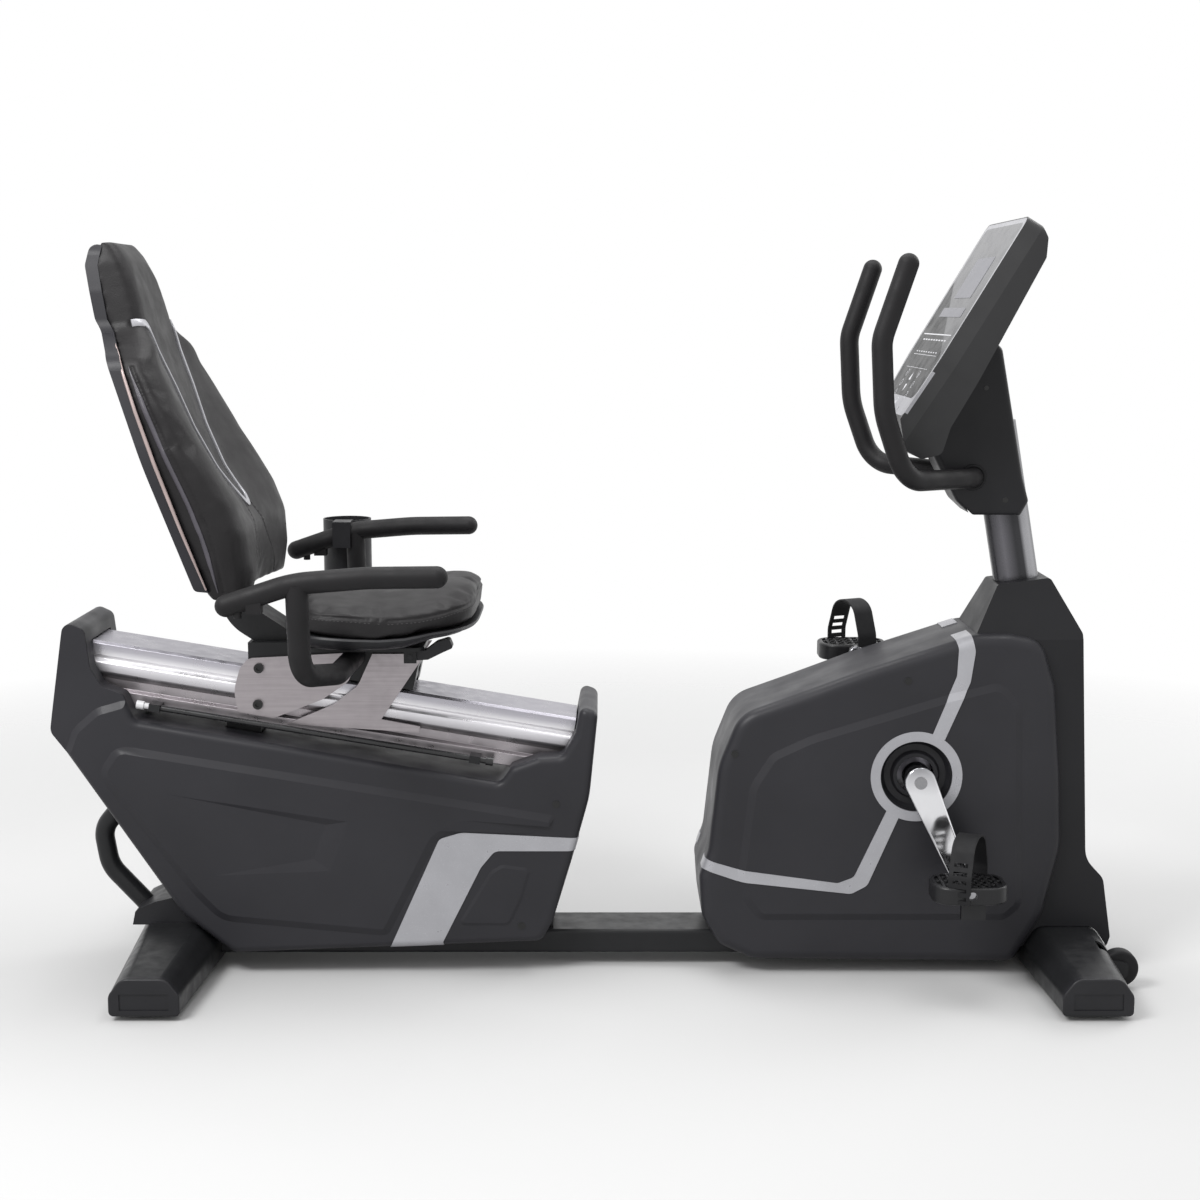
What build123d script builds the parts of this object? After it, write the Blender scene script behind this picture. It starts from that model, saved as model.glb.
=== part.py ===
"""Recumbent exercise bike: one STEP file for each separate piece, in millimetres.

+X points the way the rider faces, +Y to the rider's left, +Z up. The floor is Z = 0, and the
origin lies on the floor, on the centre plane, half way along the machine.
"""
from build123d import *

import math
import os

# Beam and stabilisers
BEAM_HALF_WIDTH = 50
BEAM_BOTTOM = 21
BEAM_TOP = 61
BEAM_REAR = -640
BEAM_FRONT = 720
TUBE_WALL = 3
STABILISER_HALF_LENGTH = 298
STABILISER_BOTTOM = 8
REAR_STABILISER_X = -689
FRONT_STABILISER_X = 776
END_CAP_LENGTH = 13
FOOT_Y = 262
FOOT_RADIUS = 22
FOOT_PAD = 7
FOOT_STEM_RADIUS = 5
RUNNING_GAP = 0.05

# Seat rail: its rear end is on the top surface, and it falls towards the front
RAIL_REAR_X = -829
RAIL_REAR_Z = 554
RAIL_TILT = 9.4
RAIL_LENGTH = 812
RAIL_HALF_WIDTH = 55
RAIL_FLANGE_HALF_WIDTH = 59
RAIL_HEIGHT = 96
POST_PLACES = (-575, -95)
ROD_REAR = 106
ROD_FRONT = 690
ROD_Y = -80

# Casings
CASING_WALL = 4
REAR_HALF_WIDTH = 105
REAR_EDGE_RADIUS = 12
FIELD_HEIGHT = 5
FIELD_SPREAD = 12
FRONT_HALF_WIDTH = 100
FRONT_EDGE_RADIUS = 18
STRIP_HALF_WIDTH = 25
TRIM_PROUD = 1.2
TRIM_SUNK = 1.8
SHROUD_HALF_WIDTH = 82
SHROUD_NECK_HALF_WIDTH = 46

# Cranks, pedals and drive
CRANK_X = 522
CRANK_Z = 336
CRANK_DX = 68
CRANK_DZ = -156
AXLE_RADIUS = 10
ARM_INNER_Y = 134
ARM_OUTER_Y = 150
PEDAL_Y = 207
PEDAL_HALF_WIDTH = 44
PEDAL_LENGTH = 118
SPINDLE_RADIUS = 7
RING_OUTER_RADIUS = 74
RING_INNER_RADIUS = 58
FLYWHEEL_X = 345
FLYWHEEL_Z = 290
FLYWHEEL_RADIUS = 125
DRIVE_PULLEY_RADIUS = 112
SMALL_PULLEY_RADIUS = 20
PULLEY_Y = -52
BELT_HALF_WIDTH = 6
BELT_GAP = 0.4
BELT_THICKNESS = 3

# Mast, handlebar and console
MAST_LEAN = 10
MAST_FOOT_X = 713
MAST_FOOT_Z = 540
MAST_LENGTH = 365
MAST_DEPTH = 72
GLASS_FOOT = 37
BEZEL_FOOT = 6
MAST_WIDTH = 46
NECK_HALF_WIDTH = 46
HANDLEBAR_RADIUS = 16
HANDLEBAR_Y = 195
HANDLEBAR_CROSS_X = 611
HANDLEBAR_CROSS_Z = 815
CONSOLE_LEAN = 31.2
CONSOLE_FOOT_X = 478
CONSOLE_FOOT_Z = 913
CONSOLE_HALF_WIDTH = 158
CONSOLE_FACE_LENGTH = 361

# Seat, backrest and armrests
PLATE_INNER_Y = 61
PLATE_THICKNESS = 5
SEAT_PAN_BOTTOM = 548
SEAT_PAN_TOP = 554
ROLLER_RADIUS = 16
ROLLER_GAP = 0.3
REAR_ROLLER_ALONG = 298
FRONT_ROLLER_ALONG = 526
SEAT_HALF_WIDTH = 212
ARMREST_Y = 346
ARMREST_RADIUS = 16.5
POST_RADIUS = 17
BACK_SLOPE = 18
CUP_X = -457
CUP_Y = 412
CUP_RADIUS = 44
LEVER_X = -290
LEVER_Z = 537
LEVER_Y = -117

# Transport wheels
WHEEL_X = 845
WHEEL_Z = 36
WHEEL_RADIUS = 30
WHEEL_Y = 162
WHEEL_HALF_WIDTH = 12


def rounded_corner(before, corner, after):
    """Where an arc in a corner starts, its middle and where it ends; a sharp corner is one point."""
    place = Vector(*corner[:2])
    radius = corner[2] if len(corner) > 2 else 0
    if not radius:
        return [place]
    to_before = (Vector(*before[:2]) - place).normalized()
    to_after = (Vector(*after[:2]) - place).normalized()
    half_angle = math.acos(max(-1, min(1, to_before.dot(to_after)))) / 2
    if half_angle > math.radians(89.9):
        return [place]
    reach = radius / math.tan(half_angle)
    bisector = (to_before + to_after).normalized()
    nearest = radius / math.sin(half_angle) - radius
    return [place + to_before * reach, place + bisector * nearest, place + to_after * reach]


def outline(*corners):
    """A closed line; each corner is two places and, where it is rounded, a radius."""
    count = len(corners)
    rounds = [
        rounded_corner(corners[i - 1], corners[i], corners[(i + 1) % count]) for i in range(count)
    ]
    edges = []
    for last, this in zip([rounds[-1]] + rounds[:-1], rounds):
        edges.append(Line(last[-1], this[0]))
        if len(this) == 3:
            edges.append(ThreePointArc(*this))
    return Curve() + edges


def side_face(*corners):
    """A face in X and Z on the centre plane."""
    return Plane.XZ * make_face(outline(*corners))


def across(face, y_low, y_high):
    """Carries a face on the centre plane from y_low to y_high."""
    return extrude(Pos(0, y_high, 0) * face, y_high - y_low, dir=(0, -1, 0))


def side_slab(corners, y_low, y_high):
    """A plate cut to a side outline."""
    return across(side_face(*corners), y_low, y_high)


def front_prism(corners, x_low, x_high):
    """A block cut to an outline seen along X, given as Y and Z."""
    face = Plane.YZ * make_face(outline(*corners))
    return extrude(Pos(x_low, 0, 0) * face, x_high - x_low, dir=(1, 0, 0))


def mirrored_corners(*half):
    """Adds the other side of an outline that is the same to left and right."""
    return list(half) + [(-corner[0],) + tuple(corner[1:]) for corner in reversed(half)]


def box(x_low, x_high, y_low, y_high, z_low, z_high):
    """A block between two corners."""
    size = (x_high - x_low, y_high - y_low, z_high - z_low)
    middle = ((x_low + x_high) / 2, (y_low + y_high) / 2, (z_low + z_high) / 2)
    return Pos(*middle) * Box(*size)


def disc_y(x, z, radius, y_low, y_high):
    """A cylinder along Y."""
    return Pos(x, (y_low + y_high) / 2, z) * Rot(90, 0, 0) * Cylinder(radius, y_high - y_low)


def ring_y(x, z, outer, inner, y_low, y_high):
    """A ring along Y."""
    return disc_y(x, z, outer, y_low, y_high) - disc_y(x, z, inner, y_low - 1, y_high + 1)


def disc_z(x, y, radius, z_low, z_high):
    """A cylinder along Z."""
    return Pos(x, y, (z_low + z_high) / 2) * Cylinder(radius, z_high - z_low)


def other_side(part):
    """The same piece on the rider's left."""
    return mirror(part, about=Plane.XZ)


def group(*parts):
    """Several separate solids in one piece of the list."""
    return Compound([solid for part in parts for solid in part.solids()])


def edges_at_y(part, y):
    """The edges that lie flat in the plane at y."""
    return part.edges().filter_by(
        lambda edge: abs(edge.center().Y - y) < 0.01 and edge.bounding_box().size.Y < 0.01
    )


def tube_along(points, radii, radius):
    """A round bar that follows straight runs joined by arcs."""
    path = FilletPolyline(*points, radius=radii)
    start = Plane(origin=path @ 0, z_dir=path % 0)
    return sweep(start * Circle(radius), path=path)


def rail_point(along, above):
    """X and Z of a place on the rail, from its rear end and above its top."""
    tilt = math.radians(RAIL_TILT)
    x = RAIL_REAR_X + along * math.cos(tilt) + above * math.sin(tilt)
    return x, RAIL_REAR_Z - along * math.sin(tilt) + above * math.cos(tilt)


def rail_frame():
    """Turns a piece drawn level, from the rail's rear end, to the rail's slope."""
    return Location((RAIL_REAR_X, 0, RAIL_REAR_Z), (0, RAIL_TILT, 0))


# ---------------------------------------------------------------- floor frame
def stabiliser_section(y, grow, middle_bottom, middle_top, height):
    """A rounded trapezium across the tube at y."""
    half_low = middle_bottom + grow
    half_high = middle_top + grow
    face = Plane.XZ * make_face(
        outline(
            (-half_low, STABILISER_BOTTOM - grow, 8 + grow),
            (half_low, STABILISER_BOTTOM - grow, 8 + grow),
            (half_low, STABILISER_BOTTOM + height * 0.55, 18 + grow),
            (half_high, STABILISER_BOTTOM + height + grow, 22 + grow),
            (-half_high, STABILISER_BOTTOM + height + grow, 22 + grow),
            (-half_low, STABILISER_BOTTOM + height * 0.55, 18 + grow),
        )
    )
    return Pos(0, y, 0) * face


def stabiliser_volume(grow):
    """The outer shape of a stabiliser, widest in the middle, drawn about X = 0."""
    middle = stabiliser_section(0, grow, 72, 50, 72)
    halves = [
        loft([middle, stabiliser_section(side * STABILISER_HALF_LENGTH, grow, 55, 35, 60)], ruled=True)
        for side in (-1, 1)
    ]
    return halves[0] + halves[1]


def stabiliser_tube():
    """A closed-wall stabiliser with threaded bosses for the levelling feet."""
    tube = stabiliser_volume(0) - stabiliser_volume(-TUBE_WALL)
    for side in (-1, 1):
        tube += disc_z(0, side * FOOT_Y, 11, STABILISER_BOTTOM, STABILISER_BOTTOM + 14)
        tube -= disc_z(0, side * FOOT_Y, FOOT_STEM_RADIUS + RUNNING_GAP, 0, STABILISER_BOTTOM + 20)
    return tube


def end_cap(x, side):
    """A moulded cap on one stabiliser end, with a sunk rectangle in its face."""
    face = stabiliser_section(0, 0, 55, 35, 60)
    cap = extrude(face, END_CAP_LENGTH, dir=(0, 1, 0))
    cap = fillet(edges_at_y(cap, END_CAP_LENGTH), 3)
    cap -= box(-38, 38, END_CAP_LENGTH - 2, END_CAP_LENGTH + 1, 18, 44)
    cap = Pos(x, STABILISER_HALF_LENGTH, 0) * cap
    return cap if side > 0 else other_side(cap)


def levelling_foot(x, side):
    """A rubber pad on a threaded stem."""
    pad = disc_z(x, side * FOOT_Y, FOOT_RADIUS, 0, FOOT_PAD)
    pad = fillet(pad.edges(), 1.5)
    return pad + disc_z(x, side * FOOT_Y, FOOT_STEM_RADIUS, FOOT_PAD, STABILISER_BOTTOM + 18)


def wheel_notches():
    """The room that the transport wheels take out of the front stabiliser."""
    half = WHEEL_HALF_WIDTH + 6
    return [
        box(WHEEL_X - WHEEL_RADIUS - 6, 900, side * WHEEL_Y - half, side * WHEEL_Y + half, 0, 100)
        for side in (-1, 1)
    ]


def wheel_lugs():
    """Four welded ears that hold the wheel axles, and the axles themselves."""
    parts = []
    for side in (-1, 1):
        middle = side * WHEEL_Y
        for ear in (-1, 1):
            inner = middle + ear * (WHEEL_HALF_WIDTH + 1.5)
            low, high = sorted((inner, inner + ear * 4.5))
            lug = side_slab(
                [(808, 14), (WHEEL_X + 10, 24, 8), (WHEEL_X + 12, 48, 8), (808, 58)], low, high
            )
            parts.append(lug)
        reach = WHEEL_HALF_WIDTH + 6
        parts.append(disc_y(WHEEL_X, WHEEL_Z, 5, middle - reach, middle + reach))
    return parts


def make_floor_frame(parts):
    """The beam, both stabilisers, their caps, feet and transport wheels."""
    rear_outer = Pos(REAR_STABILISER_X, 0, 0) * stabiliser_volume(0)
    front_outer = Pos(FRONT_STABILISER_X, 0, 0) * stabiliser_volume(0)
    beam = box(BEAM_REAR, BEAM_FRONT, -BEAM_HALF_WIDTH, BEAM_HALF_WIDTH, BEAM_BOTTOM, BEAM_TOP)
    beam = fillet(beam.edges().filter_by(Axis.X), 6)
    inner = box(
        BEAM_REAR - 1,
        BEAM_FRONT + 1,
        TUBE_WALL - BEAM_HALF_WIDTH,
        BEAM_HALF_WIDTH - TUBE_WALL,
        BEAM_BOTTOM + TUBE_WALL,
        BEAM_TOP - TUBE_WALL,
    )
    parts["main_beam"] = beam - inner - rear_outer - front_outer
    parts["rear_stabiliser"] = Pos(REAR_STABILISER_X, 0, 0) * stabiliser_tube()
    front = Pos(FRONT_STABILISER_X, 0, 0) * stabiliser_tube()
    for notch in wheel_notches():
        front -= notch
    for lug in wheel_lugs():
        front += lug
    parts["front_stabiliser"] = front
    places = [(x, side) for x in (REAR_STABILISER_X, FRONT_STABILISER_X) for side in (-1, 1)]
    parts["stabiliser_end_caps"] = group(*[end_cap(x, side) for x, side in places])
    for end, x in (("rear", REAR_STABILISER_X), ("front", FRONT_STABILISER_X)):
        for hand, side in (("right", -1), ("left", 1)):
            parts[f"levelling_foot_{end}_{hand}"] = levelling_foot(x, side)
    for hand, side in (("right", -1), ("left", 1)):
        low = side * WHEEL_Y - WHEEL_HALF_WIDTH
        wheel = disc_y(WHEEL_X, WHEEL_Z, WHEEL_RADIUS, low, low + 2 * WHEEL_HALF_WIDTH)
        wheel = fillet(wheel.edges(), 5)
        bore = disc_y(WHEEL_X, WHEEL_Z, 5 + RUNNING_GAP, low - 1, low + 2 * WHEEL_HALF_WIDTH + 1)
        parts[f"transport_wheel_{hand}"] = wheel - bore


# ---------------------------------------------------------------- seat rail
def make_seat_rail(parts):
    """The extruded rail, its two posts and the lock rod beside it."""
    edge, flange = RAIL_HALF_WIDTH, RAIL_FLANGE_HALF_WIDTH
    half = [
        (edge - 4, 0, 1.5),
        (edge, -4, 1.5),
        (edge, -22, 1),
        (edge - 4, -25, 1),
        (edge - 4, -28, 1),
        (edge + 2, -34, 4),
        (edge + 2, -48, 5),
        (edge - 2, -58, 3),
        (edge - 3, -72, 1),
        (flange, -76, 1.5),
        (flange, -RAIL_HEIGHT, 1.5),
    ]
    profile = Plane.YZ * make_face(outline(*mirrored_corners(*half)))
    rail = extrude(profile, RAIL_LENGTH, dir=(1, 0, 0))
    hollow = box(-1, RAIL_LENGTH + 1, 8 - edge, edge - 8, 6 - RAIL_HEIGHT, -6)
    web = box(0, RAIL_LENGTH, -3, 3, 6 - RAIL_HEIGHT, -6)
    parts["seat_rail"] = rail_frame() * (rail - hollow + web)

    below_rail = rail_frame() * box(-300, 1200, -80, 80, -RAIL_HEIGHT, 600)
    posts = []
    for middle in POST_PLACES:
        post = box(middle - 28, middle + 28, -35, 35, BEAM_TOP, 600)
        bore = box(middle - 25, middle + 25, -32, 32, BEAM_TOP - 1, 600)
        posts.append(post - bore - below_rail)
    rod_height = 8 - RAIL_HEIGHT
    rod = rail_rod(5, ROD_REAR, ROD_FRONT) + rail_rod(7, ROD_REAR, ROD_REAR + 12)
    rod += rail_rod(7, ROD_FRONT - 12, ROD_FRONT)
    for along in (ROD_REAR + 30, ROD_FRONT - 30):
        bracket = box(along - 9, along + 9, ROD_Y - 9, -flange, rod_height - 6, rod_height + 6)
        posts.append(rail_frame() * bracket)
    parts["rail_posts"] = group(*[post - rod for post in posts])
    parts["lock_rod"] = rod


def rail_rod(radius, rear, front):
    """A round bar beside the rail's lower flange."""
    bar = Rot(0, 90, 0) * Cylinder(radius, front - rear, align=(Align.CENTER, Align.CENTER, Align.MIN))
    return rail_frame() * Pos(rear, ROD_Y, 8 - RAIL_HEIGHT) * bar


def raised_field(corners, half, grow, height, spread):
    """A raised field on a casing's near side, with a long soft slope round it."""
    face = side_face(*corners)
    if grow:
        face = offset(face, amount=grow)
    taper = math.degrees(math.atan2(spread, height))
    return extrude(Pos(0, 1 - half - grow, 0) * face, height + 1, taper=taper)


def triangle_solid(points, triangles):
    """A closed solid from corner points and the triangles between them."""
    faces = [Face(Wire.make_polygon([points[i] for i in triangle], close=True)) for triangle in triangles]
    return Solid(Shell(faces))


# ---------------------------------------------------------------- rear casing
REAR_CASING = [
    (-849, 590, 14),
    (-815, 574, 14),
    (-808, 512, 20),
    (-790, 482, 18),
    (-757, 470, 13),
    (-739, 427, 14),
    (-151, 324, 16),
    (-132, 350, 13),
    (-88, 366, 14),
    (-50, 368, 14),
    (-29, 405, 14),
    (-20, 450, 11),
    (8, 440, 13),
    (-6, 300, 200),
    (-35, 195, 60),
    (-66, 92, 30),
    (-84, 58, 20),
    (-590, 38, 30),
    (-671, 103, 60),
    (-851, 374, 40),
    (-877, 408, 20),
    (-873, 436, 60),
    (-854, 560, 30),
]


REAR_FIELD = [
    (-804, 340, 30),
    (-769, 391, 30),
    (-57, 273, 12),
    (-59, 238, 12),
    (-207, 250, 40),
    (-251, 230, 24),
    (-334, 66, 20),
    (-609, 92, 60),
    (-651, 136, 60),
]
LOW_FIELD = [
    (-149, 192, 16),
    (-97, 185, 12),
    (-113, 130, 80),
    (-135, 84, 16),
    (-227, 84, 10),
    (-169, 180, 30),
]
EAR = [
    (-949, 330),
    (-855, 372, 10),
    (-839, 414, 40),
    (-801, 447, 40),
    (-759, 459, 30),
    (-689, 462),
    (-689, 660),
    (-949, 660),
]


def rear_body(grow):
    """One half of the rear casing's outer shape, grown or shrunk evenly."""
    face = side_face(*REAR_CASING)
    if grow:
        face = offset(face, amount=grow)
    half = REAR_HALF_WIDTH + grow
    body = across(face, -half, 0)
    body = fillet(edges_at_y(body, -half), REAR_EDGE_RADIUS + grow)
    if grow < -TRIM_SUNK:
        return body
    body += raised_field(REAR_FIELD, REAR_HALF_WIDTH, grow, FIELD_HEIGHT, FIELD_SPREAD)
    return body + raised_field(LOW_FIELD, REAR_HALF_WIDTH, grow, 2, 5)


def arrow_scoop():
    """The arrow-shaped scoop in the rear casing's raised field: it deepens towards the front."""
    top, floor = -REAR_HALF_WIDTH - FIELD_HEIGHT, -REAR_HALF_WIDTH
    points = [
        (-689, top, 308),
        (-397, top, 262),
        (-426, top, 180),
        (-614, top, 172),
        (-434, floor, 256),
        (-454, floor - 1.2, 199),
    ]
    points += [(x, top - 5, z) for x, _, z in points[:4]]
    triangles = [(0, 1, 4), (1, 2, 5), (1, 5, 4), (2, 3, 5), (0, 4, 3), (3, 4, 5)]
    triangles += [(0, 6, 7), (0, 7, 1), (1, 7, 8), (1, 8, 2), (2, 8, 9), (2, 9, 3), (3, 9, 6), (3, 6, 0)]
    triangles += [(6, 9, 8), (6, 8, 7)]
    return triangle_solid(points, triangles)


def make_rear_casing(parts):
    """Two moulded halves, their silver bands, the foot cover and the lifting handle."""
    right = rear_body(0)
    hollow = rear_body(-CASING_WALL)
    hollow -= across(offset(side_face(*EAR), amount=15), -REAR_HALF_WIDTH, 12 - REAR_HALF_WIDTH)
    band = side_slab(
        [
            (-345, 20),
            (-236, 20),
            (-246, 58, 10),
            (-183, 184, 30),
            (-160, 212, 16),
            (-20, 212),
            (-20, 233),
            (-214, 243, 40),
            (-250, 232, 14),
        ],
        -130,
        -60,
    )
    band = (rear_body(TRIM_PROUD) - rear_body(-TRIM_SUNK)) & band
    ear = extrude(Pos(0, 8 - REAR_HALF_WIDTH, 0) * side_face(*EAR), 20, taper=-55)
    rail_room = rail_frame() * box(-4, RAIL_LENGTH + 4, -61, 61, -RAIL_HEIGHT - 1, 2)
    right = right - ear - hollow - band - arrow_scoop() - rail_room
    right -= box(-900, 200, -BEAM_HALF_WIDTH - 1, 1, 0, BEAM_TOP + 1)
    right -= Pos(REAR_STABILISER_X, 0, 0) * stabiliser_volume(1)
    for middle in POST_PLACES:
        right -= box(middle - 30, middle + 30, -37, 1, BEAM_TOP, 560)
    parts["rear_casing_right"] = right
    parts["rear_casing_left"] = other_side(right)
    parts["rear_casing_trims"] = group(band, other_side(band))

    handle = tube_along(
        [(-752, 0, 305), (-822, 0, 222), (-812, 0, 158), (-728, 0, 66)], [42, 60], HANDLEBAR_RADIUS
    )
    cover = side_slab(
        [(-763, 74), (-758, 98, 8), (-725, 113, 12), (-688, 122, 6), (-656, 110), (-656, 74)], -62, 62
    )
    whole_casing = across(side_face(*REAR_CASING), -REAR_HALF_WIDTH, REAR_HALF_WIDTH)
    stabiliser = Pos(REAR_STABILISER_X, 0, 0) * stabiliser_volume(0)
    cover = cover - whole_casing - stabiliser - handle
    parts["rear_foot_cover"] = max(cover.solids(), key=lambda solid: solid.volume)
    handle = handle - whole_casing - stabiliser
    parts["rear_stabiliser"] += max(handle.solids(), key=lambda solid: solid.volume)


# ---------------------------------------------------------------- front casing
FRONT_CASING = [
    (614, 566, 60),
    (434, 507, 400),
    (330, 468, 200),
    (236, 434, 60),
    (203, 350, 120),
    (188, 210, 60),
    (173, 165, 25),
    (178, 98, 40),
    (206, 50, 30),
    (262, 24, 24),
    (690, 20, 24),
    (736, 100, 40),
    (763, 215, 150),
    (758, 330, 200),
    (745, 480, 60),
    (722, 556, 40),
    (668, 566, 30),
]


FRONT_FIELD = [
    (233, 170, 60),
    (251, 320, 60),
    (285, 374, 40),
    (349, 404, 200),
    (564, 470, 400),
    (659, 494, 34),
    (693, 450, 34),
    (703, 118, 30),
    (675, 92, 26),
    (269, 92, 26),
    (243, 126, 30),
]


def front_body(grow, y_high):
    """The near half of the front casing's outer shape, grown or shrunk evenly."""
    face = side_face(*FRONT_CASING)
    if grow:
        face = offset(face, amount=grow)
    half = FRONT_HALF_WIDTH + grow
    body = across(face, -half, y_high)
    body = fillet(edges_at_y(body, -half), FRONT_EDGE_RADIUS + grow)
    if grow < -TRIM_SUNK:
        return body
    return body + raised_field(FRONT_FIELD, FRONT_HALF_WIDTH, grow, FIELD_HEIGHT, FIELD_SPREAD)


def shroud_volume(grow):
    """The mast shroud's outer shape: a slab that narrows towards the mast."""
    face = side_face(
        (608, 545),
        (655, 641, 6),
        (741, 652, 8),
        (789, 566, 14),
        (806, 190, 50),
        (836, 160, 26),
        (851, 60, 12),
        (846, 44, 6),
        (700, 44),
        (660, 200),
    )
    if grow:
        face = offset(face, amount=grow)
    half = SHROUD_HALF_WIDTH + grow
    neck = SHROUD_NECK_HALF_WIDTH + grow
    body = across(face, -half, half)
    return body & front_prism(
        mirrored_corners((half, 20), (half, 556), (neck, 652 + grow)), 500, 900
    )


def mast_volume(grow):
    """The mast's oval tube, from its foot to the console bracket."""
    lean = math.radians(MAST_LEAN)
    foot = Plane(
        origin=(MAST_FOOT_X, 0, MAST_FOOT_Z),
        x_dir=(math.cos(lean), 0, math.sin(lean)),
        z_dir=(-math.sin(lean), 0, math.cos(lean)),
    )
    section = RectangleRounded(MAST_DEPTH + 2 * grow, MAST_WIDTH + 2 * grow, 20 + grow)
    column = extrude(foot.offset(-30) * section, MAST_LENGTH + 30)
    return column - box(600, 800, -60, 60, 400, MAST_FOOT_Z)


def ring_and_bands():
    """The silver line on the casing's side: a ring with a band to the rear and one to the top."""
    ring = ring_y(CRANK_X, CRANK_Z, RING_OUTER_RADIUS, RING_INNER_RADIUS, -130, -60)
    low_band = side_slab(
        [
            (150, 204),
            (182, 196, 10),
            (236, 180, 60),
            (398, 158, 14),
            (424, 168, 14),
            (478, 286),
            (498, 276),
            (446, 154, 16),
            (420, 140, 16),
            (236, 160, 60),
            (184, 178, 10),
            (150, 184),
        ],
        -130,
        -60,
    )
    high_band = side_slab(
        [
            (546, 404),
            (584, 500, 20),
            (586, 545, 20),
            (570, 600),
            (600, 600),
            (613, 540, 30),
            (606, 490, 20),
            (566, 396),
        ],
        -130,
        -40,
    )
    core = disc_y(CRANK_X, CRANK_Z, RING_INNER_RADIUS, -131, -39)
    return ring + (low_band - core) + (high_band - core)


def make_front_casing(parts):
    """Two moulded halves, the strip between them, silver bands, crank dishes and the shroud."""
    hollow = front_body(-CASING_WALL, 0)
    beam_room = box(100, 900, -BEAM_HALF_WIDTH - 1, BEAM_HALF_WIDTH + 1, 0, BEAM_TOP + 1)
    stabiliser_room = Pos(FRONT_STABILISER_X, 0, 0) * stabiliser_volume(1)
    shroud_room = shroud_volume(0.5)
    right = front_body(0, -STRIP_HALF_WIDTH) - hollow - beam_room - stabiliser_room - shroud_room
    right -= disc_y(CRANK_X, CRANK_Z, RING_INNER_RADIUS, -130, 0)
    trim = (front_body(TRIM_PROUD, -40) - front_body(-TRIM_SUNK, -30)) & ring_and_bands()
    trim = trim - shroud_room
    right -= trim
    parts["front_casing_right"] = right
    parts["front_casing_left"] = other_side(right)
    parts["front_casing_trims"] = group(trim, other_side(trim))

    strip = across(side_face(*FRONT_CASING), -STRIP_HALF_WIDTH, STRIP_HALF_WIDTH)
    inner = across(offset(side_face(*FRONT_CASING), amount=-CASING_WALL), -60, 60)
    strip = strip - inner - box(100, 900, -60, 60, 0, BEAM_TOP + 2) - shroud_room
    parts["front_casing_strip"] = max(strip.solids(), key=lambda solid: solid.volume)

    dish = Plane.XY * make_face(
        outline((30, -96), (36, -96), (40, -88), (50, -88), (56, -95.9), (63, -95.9), (63, -84), (30, -84))
    )
    dish = revolve(dish, axis=Axis.Y)
    dish = Pos(CRANK_X, 0, CRANK_Z) * dish
    parts["crank_surrounds"] = group(dish, other_side(dish))

    inner = shroud_volume(-CASING_WALL) + box(560, 702, 4 - SHROUD_HALF_WIDTH, SHROUD_HALF_WIDTH - 4, 60, 540)
    shroud = shroud_volume(0) - inner - mast_volume(0.6) - stabiliser_room - beam_room
    shroud -= box(600, 900, -SHROUD_HALF_WIDTH + 4, SHROUD_HALF_WIDTH - 4, 0, 80)
    for side in (-1, 1):
        shroud -= disc_y(CRANK_X, CRANK_Z, 66, *sorted((side * 70, side * 110)))
    parts["mast_shroud"] = max(shroud.solids(), key=lambda solid: solid.volume)


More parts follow.
